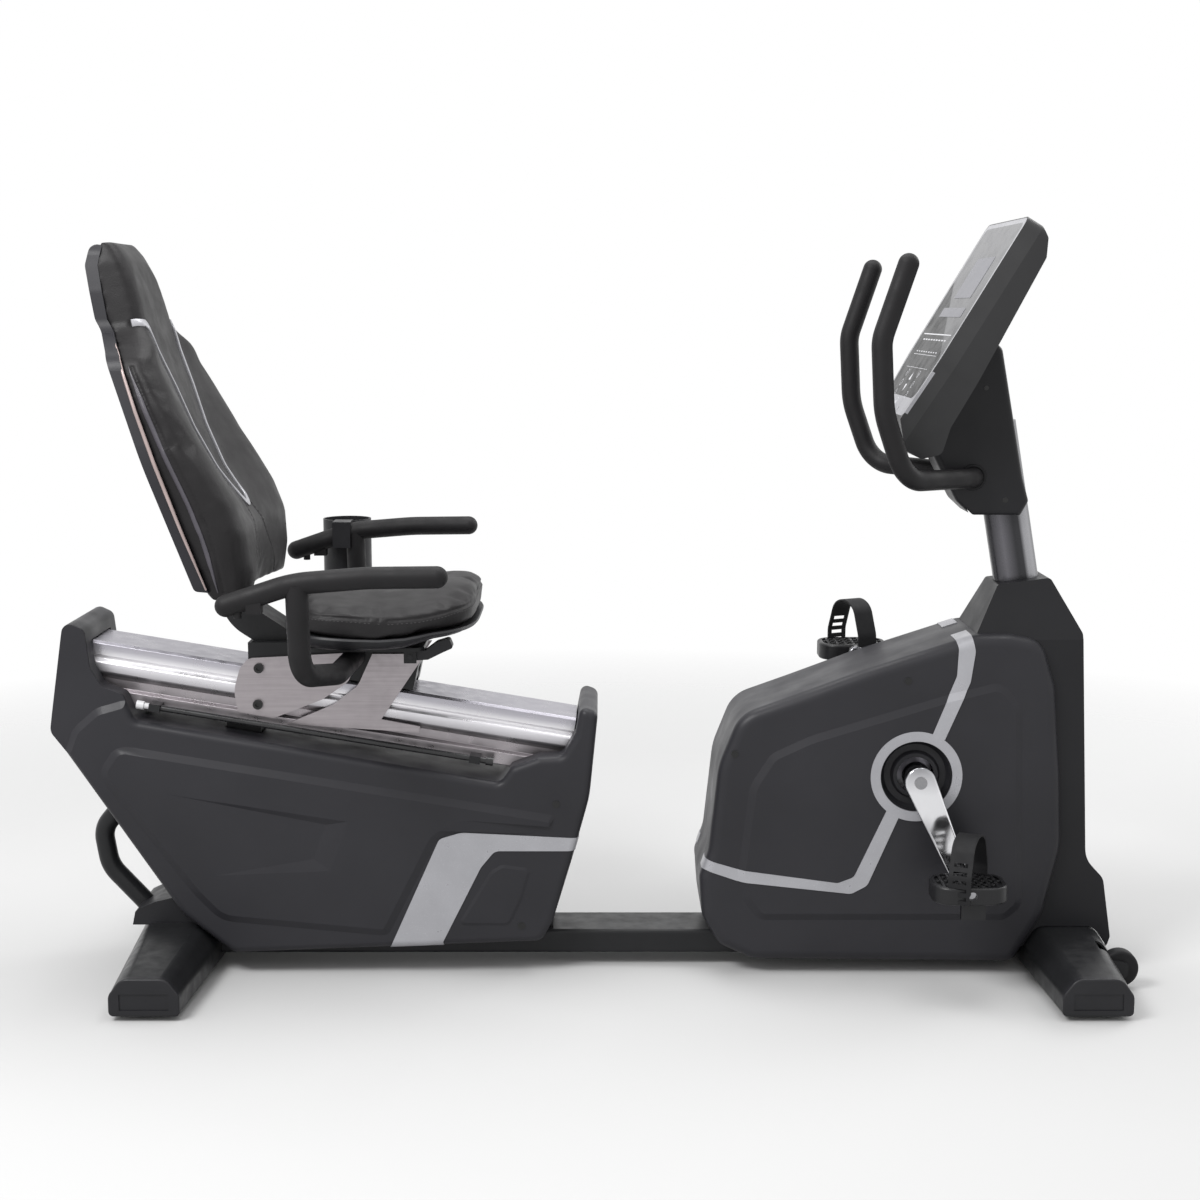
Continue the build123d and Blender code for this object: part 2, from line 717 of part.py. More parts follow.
def make_drive(parts):
    """The welded front frame, its bearings, the belt drive, flywheel, brake and motor."""
    upright = side_slab([(640, BEAM_TOP), (704, BEAM_TOP), (746, MAST_FOOT_Z), (680, MAST_FOOT_Z)], -25, 25)
    upright -= side_slab([(644, 50), (700, 50), (742, 560), (684, 560)], -21, 21)
    plate = side_slab(
        [
            (330, BEAM_TOP),
            (650, BEAM_TOP),
            (668, 392),
            (560, 372, 30),
            (500, 372, 30),
            (338, 318, 20),
            (322, 280, 20),
        ],
        20,
        25,
    )
    window = disc_y(430, 190, 34, 10, 30) + disc_y(540, 170, 44, 10, 30)
    plate -= window
    frame = upright + plate + other_side(plate)
    frame += ring_y(CRANK_X, CRANK_Z, 24, 18, -36, 36)
    frame -= disc_y(CRANK_X, CRANK_Z, 18, -40, 40)
    frame -= disc_y(FLYWHEEL_X, FLYWHEEL_Z, 8 + RUNNING_GAP, -40, 40)
    frame += disc_y(451, 150, 5, -20, 20)
    frame += mast_plug()
    parts["front_frame"] = frame
    bearings = [
        ring_y(CRANK_X, CRANK_Z, 18, AXLE_RADIUS + RUNNING_GAP, *sorted((side * 24, side * 36)))
        for side in (-1, 1)
    ]
    parts["crank_bearings"] = group(*bearings)

    rim = ring_y(FLYWHEEL_X, FLYWHEEL_Z, FLYWHEEL_RADIUS, FLYWHEEL_RADIUS - 30, -14, 14)
    web = disc_y(FLYWHEEL_X, FLYWHEEL_Z, FLYWHEEL_RADIUS - 29, -6, 6)
    holes = [
        disc_y(
            FLYWHEEL_X + 58 * math.cos(math.radians(60 * turn)),
            FLYWHEEL_Z + 58 * math.sin(math.radians(60 * turn)),
            15,
            -10,
            10,
        )
        for turn in range(6)
    ]
    for hole in holes:
        web -= hole
    wheel = rim + web + disc_y(FLYWHEEL_X, FLYWHEEL_Z, 8, -66, 32)
    wheel += disc_y(FLYWHEEL_X, FLYWHEEL_Z, SMALL_PULLEY_RADIUS, PULLEY_Y - 8, PULLEY_Y + 8)
    parts["flywheel"] = wheel

    pulley = disc_y(CRANK_X, CRANK_Z, DRIVE_PULLEY_RADIUS, PULLEY_Y - 8, PULLEY_Y + 8)
    for turn in range(5):
        angle = math.radians(72 * turn)
        pulley -= disc_y(CRANK_X + 64 * math.cos(angle), CRANK_Z + 64 * math.sin(angle), 24, -70, -40)
    parts["drive_pulley"] = pulley - disc_y(CRANK_X, CRANK_Z, AXLE_RADIUS, -70, -40)
    parts["drive_belt"] = belt_loop(BELT_GAP + BELT_THICKNESS) - belt_loop(BELT_GAP)

    shoe = ring_y(FLYWHEEL_X, FLYWHEEL_Z, FLYWHEEL_RADIUS + 16, FLYWHEEL_RADIUS + 3, -16, 16)
    shoe &= side_slab([(270, 100), (290, 210), (345, 270), (430, 190), (440, 100)], -20, 20)
    arm = side_slab([(408, 160), (428, 194), (463, 158, 7), (450, 137, 7), (405, 148)], -10, 10)
    magnets = shoe + arm - disc_y(451, 150, 5 + RUNNING_GAP, -30, 30)
    magnets -= disc_y(FLYWHEEL_X, FLYWHEEL_Z, FLYWHEEL_RADIUS + 3, -30, 30)
    parts["brake_magnets"] = max(magnets.solids(), key=lambda solid: solid.volume)
    motor = box(470, 520, 25, 62, 74, 128)
    motor = fillet(motor.edges().filter_by(Axis.Y), 5)
    parts["brake_motor"] = motor + disc_y(495, 101, 12, 62, 72)


def mast_plug():
    """The block on top of the upright that the mast slides over."""
    return mast_volume(-TUBE_WALL) & box(600, 800, -40, 40, MAST_FOOT_Z, MAST_FOOT_Z + 60)


def belt_loop(gap):
    """The space inside a loop round both pulleys, a little off their rims."""
    large = Pos(CRANK_X, CRANK_Z) * Circle(DRIVE_PULLEY_RADIUS + gap)
    small = Pos(FLYWHEEL_X, FLYWHEEL_Z) * Circle(SMALL_PULLEY_RADIUS + gap)
    face = Plane.XZ * make_hull(large.edges() + small.edges())
    return across(face, PULLEY_Y - BELT_HALF_WIDTH, PULLEY_Y + BELT_HALF_WIDTH)


# ---------------------------------------------------------------- cranks and pedals
def crank_arm():
    """The right arm: a deep boss on the axle, tapering to the pedal's eye."""
    pedal_x, pedal_z = CRANK_X + CRANK_DX, CRANK_Z + CRANK_DZ
    boss = Pos(CRANK_X, CRANK_Z) * Circle(25)
    eye = Pos(pedal_x, pedal_z) * Circle(15)
    face = Plane.XZ * make_hull(boss.edges() + eye.edges())
    arm = across(face, -ARM_OUTER_Y, -ARM_INNER_Y)
    arm = fillet(arm.edges().filter_by(lambda edge: edge.bounding_box().size.Y < 0.01), 4)
    arm += disc_y(CRANK_X, CRANK_Z, 23, -ARM_OUTER_Y + 5, -98)
    arm -= disc_y(CRANK_X, CRANK_Z, AXLE_RADIUS, -200, 0)
    return arm - disc_y(pedal_x, pedal_z, SPINDLE_RADIUS, -200, 0)


def pedal_body():
    """A platform pedal on the right, drawn about its own spindle."""
    inner, outer = -PEDAL_HALF_WIDTH, PEDAL_HALF_WIDTH
    body = extrude(Pos(0, 0, -15) * RectangleRounded(PEDAL_LENGTH, 2 * PEDAL_HALF_WIDTH, 32), 28)
    body = fillet(body.edges().filter_by(lambda edge: edge.bounding_box().size.Z < 0.01), 4)
    body -= extrude(Pos(0, 0, 10) * RectangleRounded(PEDAL_LENGTH - 16, 2 * PEDAL_HALF_WIDTH - 16, 24), 10)
    for row in range(-3, 4):
        body += box(row * 14 - 2, row * 14 + 2, inner + 10, outer - 10, 9, 13)
    body += box(-16, 22, inner + 8, inner + 18, -40, -14)
    return body - disc_y(0, 0, SPINDLE_RADIUS + RUNNING_GAP, -60, 60)


def pedal_strap():
    """The slotted strap: an arch over the foot, drawn about the right pedal's spindle."""
    half, thick = 50, 3
    path = [
        (half, -12),
        (half, 30, 30),
        (half - 18, 78, 30),
        (0, 92, 45),
        (18 - half, 78, 30),
        (-half, 30, 30),
        (-half, -12),
    ]
    outer = Plane.YZ * make_face(outline(*path))
    inner_path = [
        (half - thick, -14),
        (half - thick, 29.5, 27),
        (half - 20, 75.5, 27),
        (0, 89, 42),
        (20 - half, 75.5, 27),
        (thick - half, 29.5, 27),
        (thick - half, -14),
    ]
    inner = Plane.YZ * make_face(outline(*inner_path))
    arch = extrude(Pos(-18, 0, 0) * outer, 36, dir=(1, 0, 0))
    arch -= extrude(Pos(-19, 0, 0) * inner, 38, dir=(1, 0, 0))
    for step in range(5):
        height = -6 + 13 * step
        arch -= box(-11, 11, -half - 20, -half + 12, height, height + 6)
    pedal_room = extrude(Pos(0, 0, -15) * RectangleRounded(PEDAL_LENGTH, 2 * PEDAL_HALF_WIDTH, 32), 28)
    spindle_room = disc_y(0, 0, SPINDLE_RADIUS + RUNNING_GAP, -60, 60)
    return Rot(0, 0, -26) * arch - pedal_room - spindle_room


def make_cranks(parts):
    """The axle, both arms, bolts, spindles, pedals and straps."""
    parts["crank_axle"] = disc_y(CRANK_X, CRANK_Z, AXLE_RADIUS, 7 - ARM_OUTER_Y, ARM_OUTER_Y - 7)
    right = crank_arm()
    left = Pos(CRANK_X, 0, CRANK_Z) * Rot(0, 180, 0) * Pos(-CRANK_X, 0, -CRANK_Z) * other_side(right)
    parts["crank_right"] = right
    parts["crank_left"] = left
    bolts = []
    for hand, side in (("right", -1), ("left", 1)):
        ends = sorted((side * (ARM_OUTER_Y - 7), side * (ARM_OUTER_Y + 2)))
        bolts.append(disc_y(CRANK_X, CRANK_Z, AXLE_RADIUS, *ends))
        pedal_x, pedal_z = CRANK_X - side * CRANK_DX, CRANK_Z - side * CRANK_DZ
        ends = sorted((side * ARM_INNER_Y, side * (PEDAL_Y + PEDAL_HALF_WIDTH - 6)))
        spindle = disc_y(pedal_x, pedal_z, SPINDLE_RADIUS, *ends)
        parts[f"crank_{hand}"] = group(parts[f"crank_{hand}"], spindle)
    parts["crank_axle"] = group(parts["crank_axle"], *bolts)
    body = pedal_body()
    strap = pedal_strap()
    for hand, side in (("right", -1), ("left", 1)):
        place = Pos(CRANK_X - side * CRANK_DX, side * PEDAL_Y, CRANK_Z - side * CRANK_DZ)
        own_body, own_strap = (body, strap) if side < 0 else (other_side(body), other_side(strap))
        parts[f"pedal_{hand}"] = place * own_body
        parts[f"pedal_strap_{hand}"] = group(place * own_strap)


# ---------------------------------------------------------------- mast and console
def console_plane(depth):
    """The console's face, or a plane that much behind it."""
    lean = math.radians(CONSOLE_LEAN)
    face = Plane(
        origin=(CONSOLE_FOOT_X, 0, CONSOLE_FOOT_Z),
        x_dir=(0, -1, 0),
        z_dir=(-math.cos(lean), 0, math.sin(lean)),
    )
    return face.offset(-depth)


def console_prism(inset, front, back):
    """The console's rounded face outline, carried from one depth to another."""
    half, length = CONSOLE_HALF_WIDTH - inset, CONSOLE_FACE_LENGTH - inset
    face = make_face(
        outline(*mirrored_corners((118 - inset, inset - 70, 30), (half, 110, 60), (half, length, 16)))
    )
    return extrude(console_plane(back) * face, back - front)


def face_prism(grow, foot, front, back):
    """The outline of the glass or of the bezel round it, carried from one depth to another."""
    half, length = CONSOLE_HALF_WIDTH - 10 + grow, CONSOLE_FACE_LENGTH - 10 + grow
    face = make_face(
        outline(*mirrored_corners((half - 14, foot, 26), (half, 110, 60), (half, length, 16)))
    )
    return extrude(console_plane(back) * face, back - front)


def console_body(inset):
    """The console's outer shape, from its side outline and its face outline."""
    face = side_face(
        (664, 1222, 4),
        (678, 1229, 5),
        (694, 1190, 8),
        (692, 1160, 8),
        (622, 1026, 20),
        (556, 900, 30),
        (545, 858, 12),
        (514, 850, 10),
        (488, 864, 14),
        (478, 913),
    )
    if inset:
        face = offset(face, amount=-inset)
    half = CONSOLE_HALF_WIDTH - inset
    return across(face, -half, half) & console_prism(inset, -40, 140)


def make_mast(parts):
    """The mast, neck covers, handlebar and console."""
    parts["mast"] = mast_volume(0) - mast_volume(-TUBE_WALL)
    near = [
        (476, -HANDLEBAR_Y, 1150),
        (438, -HANDLEBAR_Y, 1036),
        (444, -HANDLEBAR_Y, 925),
        (480, -HANDLEBAR_Y + 7, 820),
        (HANDLEBAR_CROSS_X, -60, HANDLEBAR_CROSS_Z),
    ]
    far = [(x, -y, z) for x, y, z in reversed(near)]
    bar = tube_along(near + far, [70, 150, 55, 40, 40, 55, 150, 70], HANDLEBAR_RADIUS)
    for side in (-1, 1):
        bar += Pos(476, side * HANDLEBAR_Y, 1150) * Sphere(HANDLEBAR_RADIUS)
    parts["handlebar"] = bar

    whole = console_body(0)
    neck = side_slab(
        [
            (612, 752, 8),
            (690, 752, 8),
            (703, 776, 8),
            (692, 815, 60),
            (650, 1040, 14),
            (560, 960),
            (542, 860),
            (556, 832, 14),
            (586, 776, 20),
        ],
        -NECK_HALF_WIDTH,
        NECK_HALF_WIDTH,
    )
    neck = fillet(edges_at_y(neck, NECK_HALF_WIDTH) + edges_at_y(neck, -NECK_HALF_WIDTH), 10)
    bore = mast_volume(0.6)
    hole = disc_y(HANDLEBAR_CROSS_X, HANDLEBAR_CROSS_Z, HANDLEBAR_RADIUS + 4, -80, 80)
    inner = side_slab(
        [(616, 740), (686, 740), (694, 784), (646, 1030), (566, 956), (550, 862), (594, 780)], -42, 42
    )
    shell = neck - inner - bore - hole - console_body(0)
    lean = math.radians(MAST_LEAN)
    seam = Plane(origin=(636, 0, 826), x_dir=(0, 1, 0), z_dir=(math.cos(lean), 0, math.sin(lean)))
    front = shell.intersect(extrude(seam * Rectangle(300, 700), 300))
    rear = shell.intersect(extrude(seam * Rectangle(300, 700), -300))
    parts["neck_cover_front"] = group(*keep_large(front))
    parts["neck_cover_rear"] = group(*keep_large(rear))

    hollow = console_body(3)
    panel_room = face_prism(0, GLASS_FOOT, -2, 4) & whole
    panel = panel_room
    bezel = (face_prism(8, BEZEL_FOOT, -2, 5) - face_prism(0, GLASS_FOOT, -3, 6)) & whole
    front_half = console_prism(-20, -60, 26)
    rear_half = console_prism(-20, 26, 200)
    housing = whole - hollow + (console_prism(3, -2, 8) & whole)
    parts["console_panel"] = panel
    parts["console_bezel"] = bezel
    parts["console_housing_front"] = group(*keep_large((housing & front_half) - panel_room - bezel))
    parts["console_housing_rear"] = group(*keep_large(housing & rear_half))


def keep_large(part):
    """Drops crumbs that a cut leaves behind."""
    return [solid for solid in part.solids() if solid.volume > 2000]


# ---------------------------------------------------------------- seat
def make_carriage(parts):
    """The frame that rolls on the rail, its side plates, rollers, bolts and lever."""
    under = rail_frame() * box(-50, 900, -70, 70, -200, 4)
    block = side_slab(
        [(-560, 440), (-560, SEAT_PAN_BOTTOM), (-276, SEAT_PAN_BOTTOM), (-300, 440)],
        -PLATE_INNER_Y,
        PLATE_INNER_Y,
    )
    block -= under
    pan = box(-455, -268, -150, 150, SEAT_PAN_BOTTOM, SEAT_PAN_TOP)
    pan = fillet(pan.edges().filter_by(Axis.Z), 20)
    frame = block + pan
    for along in (REAR_ROLLER_ALONG, FRONT_ROLLER_ALONG):
        frame -= roller_room(along)
        x, z = rail_point(along, ROLLER_RADIUS + ROLLER_GAP)
        frame += disc_y(x, z, 5, -26, 26)
    for low in (LEVER_Y - 17, LEVER_Y + 13):
        ear = box(LEVER_X - 10, LEVER_X + 10, low, low + 4, LEVER_Z - 10, SEAT_PAN_BOTTOM)
        frame += ear - disc_y(LEVER_X, LEVER_Z, 4 + RUNNING_GAP, low - 1, low + 5)
    frame -= backrest_bar(0)
    parts["carriage_frame"] = frame
    for name, along in (("rear", REAR_ROLLER_ALONG), ("front", FRONT_ROLLER_ALONG)):
        x, z = rail_point(along, ROLLER_RADIUS + ROLLER_GAP)
        parts[f"carriage_roller_{name}"] = ring_y(x, z, ROLLER_RADIUS, 5 + RUNNING_GAP, -22, 22)

    rear_plate = [
        (-559, 523, 20),
        (-375, 533),
        (-398, 484, 20),
        (-440, 455, 30),
        (-520, 424),
        (-578, 434, 6),
        (-584, 470, 60),
        (-573, 507, 20),
    ]
    front_plate = [
        (-358, 530),
        (-272, 530),
        (-345, 422),
        (-282, 410),
        (-284, 400),
        (-500, 414),
        (-424, 446, 30),
        (-382, 478, 30),
    ]
    y_high = -PLATE_INNER_Y
    plates = [
        side_slab(corners, y_high - PLATE_THICKNESS, y_high) for corners in (rear_plate, front_plate)
    ]
    parts["carriage_plates"] = group(*plates, *[other_side(plate) for plate in plates])
    bolts = []
    for x, z in ((-542, 507), (-545, 447)):
        head = disc_y(x, z, 8, y_high - PLATE_THICKNESS - 5, y_high - PLATE_THICKNESS)
        head -= disc_y(x, z, 4, y_high - PLATE_THICKNESS - 6, y_high - PLATE_THICKNESS - 2)
        bolts += [head, other_side(head)]
    parts["carriage_bolts"] = group(*bolts)

    lever = side_slab(
        [
            (-300, 530, 4),
            (-262, 532),
            (-240, 543, 8),
            (-222, 551, 4),
            (-228, 566, 5),
            (-248, 560, 8),
            (-266, 546.5),
            (-300, 546.5, 4),
        ],
        LEVER_Y - 12.5,
        LEVER_Y + 12.5,
    )
    parts["seat_lever"] = lever + disc_y(LEVER_X, LEVER_Z, 4, LEVER_Y - 18, LEVER_Y + 18)


def roller_room(along):
    """The pocket that a roller turns in."""
    half = ROLLER_RADIUS + 3
    return rail_frame() * box(along - half, along + half, -24, 24, 0, 2 * ROLLER_RADIUS + 5)


def backrest_bar(grow):
    """The curved bar that carries the backrest."""
    face = side_face(
        (-470, 520),
        (-530, 532, 70),
        (-588, 570, 80),
        (-628, 640, 40),
        (-627, 692, 20),
        (-689, 880),
        (-677, 880),
        (-611, 694, 30),
        (-592, 652, 30),
        (-556, 604, 60),
        (-490, 560, 30),
        (-470, 548),
    )
    if grow:
        face = offset(face, amount=grow)
    return across(face, -40 - grow, 40 + grow)


def back_outline(inset):
    """The backrest seen from the front: a narrow head over a wide body."""
    return mirrored_corners(
        (84 - inset, 1192 - inset, 34 - inset),
        (104 - inset, 1110, 60),
        (112 - inset, 1052, 30),
        (196 - inset, 1008, 40),
        (228 - inset, 850, 200),
        (210 - inset, 632 + inset, 30),
    )


def make_backrest(parts):
    """The bar, rear shell, padded front and silver line of the backrest."""
    parts["backrest_frame"] = backrest_bar(0) - roller_room(REAR_ROLLER_ALONG)
    rear_line = [(-592, 650), (-722, 1012), (-757, 1066), (-773, 1150), (-765, 1196)]
    front_line = [
        (-740, 1190, 14),
        (-716, 1120, 60),
        (-700, 1058, 20),
        (-676, 1024, 30),
        (-610, 931, 80),
        (-574, 876, 80),
        (-539, 789, 120),
        (-527, 684, 60),
        (-532, 630, 16),
    ]
    pad = side_slab(rear_line + front_line, -232, 232) & front_prism(back_outline(0), -900, -400)
    slope = math.radians(BACK_SLOPE)
    forward = (math.cos(slope), 0, math.sin(slope))
    upward = (-math.sin(slope), 0, math.cos(slope))
    dip = Plane(origin=(-701, 0, 1058), x_dir=forward, z_dir=upward)
    groove = make_face(outline((0, -78, 20), (0, 78, 20), (150, 235), (150, -235)))
    pad -= extrude(dip.offset(-500) * groove, 1000)
    layer = Pos(1.5, 0, 0) * pad - Pos(-2, 0, 0) * pad
    line = front_prism(mirrored_corners((88, 1066, 10), (16, 782, 14)), -900, -400)
    line -= front_prism(mirrored_corners((81, 1080, 8), (10, 790, 9)), -901, -399)
    trim = layer & line
    parts["backrest_trim"] = group(*[solid for solid in trim.solids() if solid.volume > 200])
    parts["backrest_cushion"] = pad - parts["backrest_trim"] - backrest_bar(0.5)

    shell_rear = [(-785, 1188, 12), (-793, 1150, 20), (-776, 1066, 30), (-744, 1016, 30), (-613, 652, 8)]
    shell = side_slab(rear_line[:-1] + [(-768, 1180)] + shell_rear, -232, 232)
    shell &= front_prism(back_outline(4), -900, -400)
    inner_rear = [(-782, 1160), (-772, 1066), (-740, 1016), (-609, 654)]
    inner = side_slab([(-560, 654), (-700, 1066), (-740, 1160)] + inner_rear, -232, 232)
    inner &= front_prism(back_outline(9), -900, -400)
    shell = shell - inner - pad - backrest_bar(0.5)
    parts["backrest_shell"] = group(*keep_large(shell))


def make_armrests(parts):
    """Both armrests on their posts, and the bottle holder on the left one."""
    points = [(-540, -336, 650), (-440, -ARMREST_Y, 684), (-330, -ARMREST_Y, 693), (-228, -ARMREST_Y, 694)]
    tube = tube_along(points, [200, 500], ARMREST_RADIUS)
    for end in (points[0], points[-1]):
        tube += Pos(*end) * Sphere(ARMREST_RADIUS)
    post = tube_along(
        [(-434, -ARMREST_Y, 682), (-431, -ARMREST_Y, 546), (-392, -230, 528), (-386, -50, 526)],
        [42, 60],
        POST_RADIUS,
    )
    post = post - box(-600, -200, -PLATE_INNER_Y - PLATE_THICKNESS, 0, 300, 560)
    arm = tube + post
    arm += box(-508, -486, -ARMREST_Y - 8, -ARMREST_Y + 14, 640, 662) + disc_z(-522, -340, 6, 632, 650)
    parts["armrest_right"] = arm
    parts["armrest_left"] = other_side(arm)
    cup = disc_z(CUP_X, CUP_Y, CUP_RADIUS, 590, 700) - disc_z(CUP_X, CUP_Y, CUP_RADIUS - 3, 593, 701)
    clip = box(CUP_X - 16, CUP_X + 16, ARMREST_Y - 21, CUP_Y - CUP_RADIUS + 3, 655, 702)
    clip = clip - disc_z(CUP_X, CUP_Y, CUP_RADIUS - 1, 580, 710) - other_side(arm)
    parts["bottle_holder"] = group(*keep_large(cup + clip))


def make_seat(parts):
    """The seat cushion on its pan."""
    pad = side_slab(
        [
            (-482, 600, 20),
            (-474, 652, 18),
            (-237, 662, 60),
            (-192, 656, 18),
            (-178, 612, 20),
            (-190, 590, 14),
            (-240, 577, 60),
            (-330, SEAT_PAN_TOP + 1, 60),
            (-430, SEAT_PAN_TOP + 1, 40),
        ],
        -SEAT_HALF_WIDTH,
        SEAT_HALF_WIDTH,
    )
    plan = Plane.XY * Pos(-330, 0) * RectangleRounded(306, 2 * SEAT_HALF_WIDTH, 80)
    pad &= extrude(Pos(0, 0, 500) * plan, 300)
    parts["seat_cushion"] = pad - parts["armrest_right"] - parts["armrest_left"]


def make_screws(parts):
    """Screw heads in the casings' sides."""
    heads = []
    for x, z in ((-60, 290), (-347, 84), (-117, 86)):
        heads.append(disc_y(x, z, 6, -REAR_HALF_WIDTH - 0.8, -REAR_HALF_WIDTH + 2))
    for x, z in ((229, 372), (506, 492)):
        heads.append(disc_y(x, z, 6, -FRONT_HALF_WIDTH - 0.8, -FRONT_HALF_WIDTH + 2))
    for name in ("rear_casing", "front_casing"):
        for head in heads:
            parts[f"{name}_right"] -= head
            parts[f"{name}_left"] -= other_side(head)
    parts["casing_screws"] = group(*heads, *[other_side(head) for head in heads])


def main():
    """Makes every piece and writes its file."""
    parts = {}
    steps = (
        make_floor_frame,
        make_seat_rail,
        make_rear_casing,
        make_front_casing,
        make_drive,
        make_cranks,
        make_mast,
        make_carriage,
        make_backrest,
        make_armrests,
        make_seat,
        make_screws,
    )
    for step in steps:
        step(parts)
    os.makedirs("parts", exist_ok=True)
    for name, part in parts.items():
        export_step(part, f"parts/{name}.step")
    print(len(parts), "pieces")


main()
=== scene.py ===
"""The recumbent exercise bike's visual model: materials, upholstery and details on the CAD frame."""

import math

import bmesh
import bpy
import numpy as np
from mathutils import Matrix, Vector
from mathutils.bvhtree import BVHTree
from mathutils.kdtree import KDTree


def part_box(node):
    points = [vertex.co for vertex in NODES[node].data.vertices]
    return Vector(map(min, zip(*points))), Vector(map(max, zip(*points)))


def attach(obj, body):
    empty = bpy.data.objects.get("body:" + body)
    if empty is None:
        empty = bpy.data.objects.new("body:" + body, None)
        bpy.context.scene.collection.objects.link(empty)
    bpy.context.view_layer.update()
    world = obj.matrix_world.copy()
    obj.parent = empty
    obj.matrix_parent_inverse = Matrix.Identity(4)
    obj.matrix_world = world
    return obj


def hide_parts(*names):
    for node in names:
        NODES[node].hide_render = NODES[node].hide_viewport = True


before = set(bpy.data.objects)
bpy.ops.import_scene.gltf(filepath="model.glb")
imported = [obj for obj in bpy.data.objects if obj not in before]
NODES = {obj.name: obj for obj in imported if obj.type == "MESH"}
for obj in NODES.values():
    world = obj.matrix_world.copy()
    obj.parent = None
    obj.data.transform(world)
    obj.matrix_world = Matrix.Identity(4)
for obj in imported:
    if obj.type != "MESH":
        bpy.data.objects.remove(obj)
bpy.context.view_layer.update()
scene = bpy.context.scene

# ------------------------------------------------------------------ sizes, in metres
RAIL_TILT = math.radians(9.4)
CONSOLE_LEAN = math.radians(31.2)
CONSOLE_FOOT = Vector((0.478, 0.0, 0.913))
# the rail's lower and upper edges, measured square to its length from the origin
RAIL_LOW, RAIL_HIGH = 0.3152, 0.4112
ROD_X = (-0.727, -0.147)
HANDLEBAR_RADIUS = 0.016
HANDLEBAR_CROSS = Vector((0.611, 0.0, 0.815))
MAST_LEAN = math.radians(10)
MAST_FOOT = (0.713, 0.540)
MAST_HALF_DEPTH = 0.036
# the direction and place of the slanting edge of the painted reflection on the console's glass
REFLECTION_SLOPE = (0.0, -0.38, 0.925)
REFLECTION_EDGE = 0.985

# how the cushions are filled and sewn
VOXEL = 0.005
SIM_FRAMES = 20
FILL_PRESSURE = 4.0
FILL_CAP = 0.006
STITCH_LENGTH = 0.0034
STITCH_PITCH = 0.0056
STITCH_RADIUS = 0.00045

# painted light and shade by height across the rail and by depth through the mast: (share, colour), the
# two ends first
RAIL_PAINTED_LIGHT = [
    (0.0, (0.36, 0.335, 0.35)),
    (1.0, (0.36, 0.35, 0.39)),
    (0.42, (0.33, 0.305, 0.32)),
    (0.46, (0.19, 0.18, 0.19)),
    (0.5, (0.42, 0.41, 0.43)),
    (0.64, (0.76, 0.75, 0.78)),
    (0.76, (0.85, 0.84, 0.86)),
    (0.88, (0.46, 0.45, 0.49)),
]
MAST_PAINTED_LIGHT = [
    (0.0, (0.03, 0.03, 0.033)),
    (1.0, (0.08, 0.08, 0.085)),
    (0.28, (0.13, 0.127, 0.14)),
    (0.55, (0.035, 0.035, 0.038)),
    (0.68, (0.04, 0.04, 0.043)),
    (0.76, (0.3, 0.3, 0.315)),
    (0.9, (0.36, 0.36, 0.375)),
]
# the rider's right and left, by the sign of y, and a distance well outside the machine's side
SIDES = (("right", -1), ("left", 1))
BESIDE = 0.6
# a noise value lies mostly between these
NOISE_LOW, NOISE_HIGH = 0.3, 0.7


# ------------------------------------------------------------------ materials
def add(tree, kind, **inputs):
    """A shader node with its inputs set or linked; i0 and i1 stand for its first and second input."""
    node = tree.nodes.new(kind)
    for name, value in inputs.items():
        numbered = name[0] == "i" and name[1:].isdigit()
        socket = node.inputs[int(name[1:]) if numbered else name]
        if isinstance(value, bpy.types.NodeSocket):
            tree.links.new(value, socket)
        else:
            socket.default_value = value
    return node


def place(tree, scale=(1, 1, 1), tilt=0.0):
    """Object coordinates, stretched and tilted about Y."""
    coords = tree.nodes.new("ShaderNodeTexCoord")
    source = coords.outputs["Object"]
    mapping = add(tree, "ShaderNodeMapping", Vector=source, Scale=scale, Rotation=(0, tilt, 0))
    return mapping.outputs["Vector"]


def noise(tree, scale, detail=2.0, vector=None, rough=0.5):
    """A noise value."""
    where = vector or place(tree)
    node = add(tree, "ShaderNodeTexNoise", Vector=where, Scale=scale, Detail=detail, Roughness=rough)
    return node.outputs["Fac"]


def spread(tree, value, low, high, start=0.0, end=1.0):
    """A value carried from one range to another."""
    node = add(tree, "ShaderNodeMapRange", Value=value)
    node.inputs["From Min"].default_value = start
    node.inputs["From Max"].default_value = end
    node.inputs["To Min"].default_value = low
    node.inputs["To Max"].default_value = high
    return node.outputs["Result"]


def mixed(tree, factor, first, second):
    """Two colours mixed by a value."""
    node = tree.nodes.new("ShaderNodeMix")
    node.data_type = "RGBA"
    for socket, value in ((node.inputs[0], factor), (node.inputs[6], first), (node.inputs[7], second)):
        if isinstance(value, bpy.types.NodeSocket):
            tree.links.new(value, socket)
        else:
            socket.default_value = value if socket is node.inputs[0] else (*value, 1)
    return node.outputs[2]


def shade(colour, factor):
    """A colour made lighter or darker."""
    return tuple(channel * factor for channel in colour)


def bumped(tree, shader, layers):
    """Height layers of (value, strength, distance) stacked on the shader's normal."""
    normal = None
    for height, strength, distance in layers:
        node = add(tree, "ShaderNodeBump", Height=height, Strength=strength, Distance=distance)
        if normal:
            tree.links.new(normal, node.inputs["Normal"])
        normal = node.outputs["Normal"]
    tree.links.new(normal, shader.inputs["Normal"])


def recolour(tree, shader, colour):
    """Links a colour to the shader's base in place of what was there."""
    for link in list(shader.inputs["Base Color"].links):
        tree.links.remove(link)
    tree.links.new(colour, shader.inputs["Base Color"])


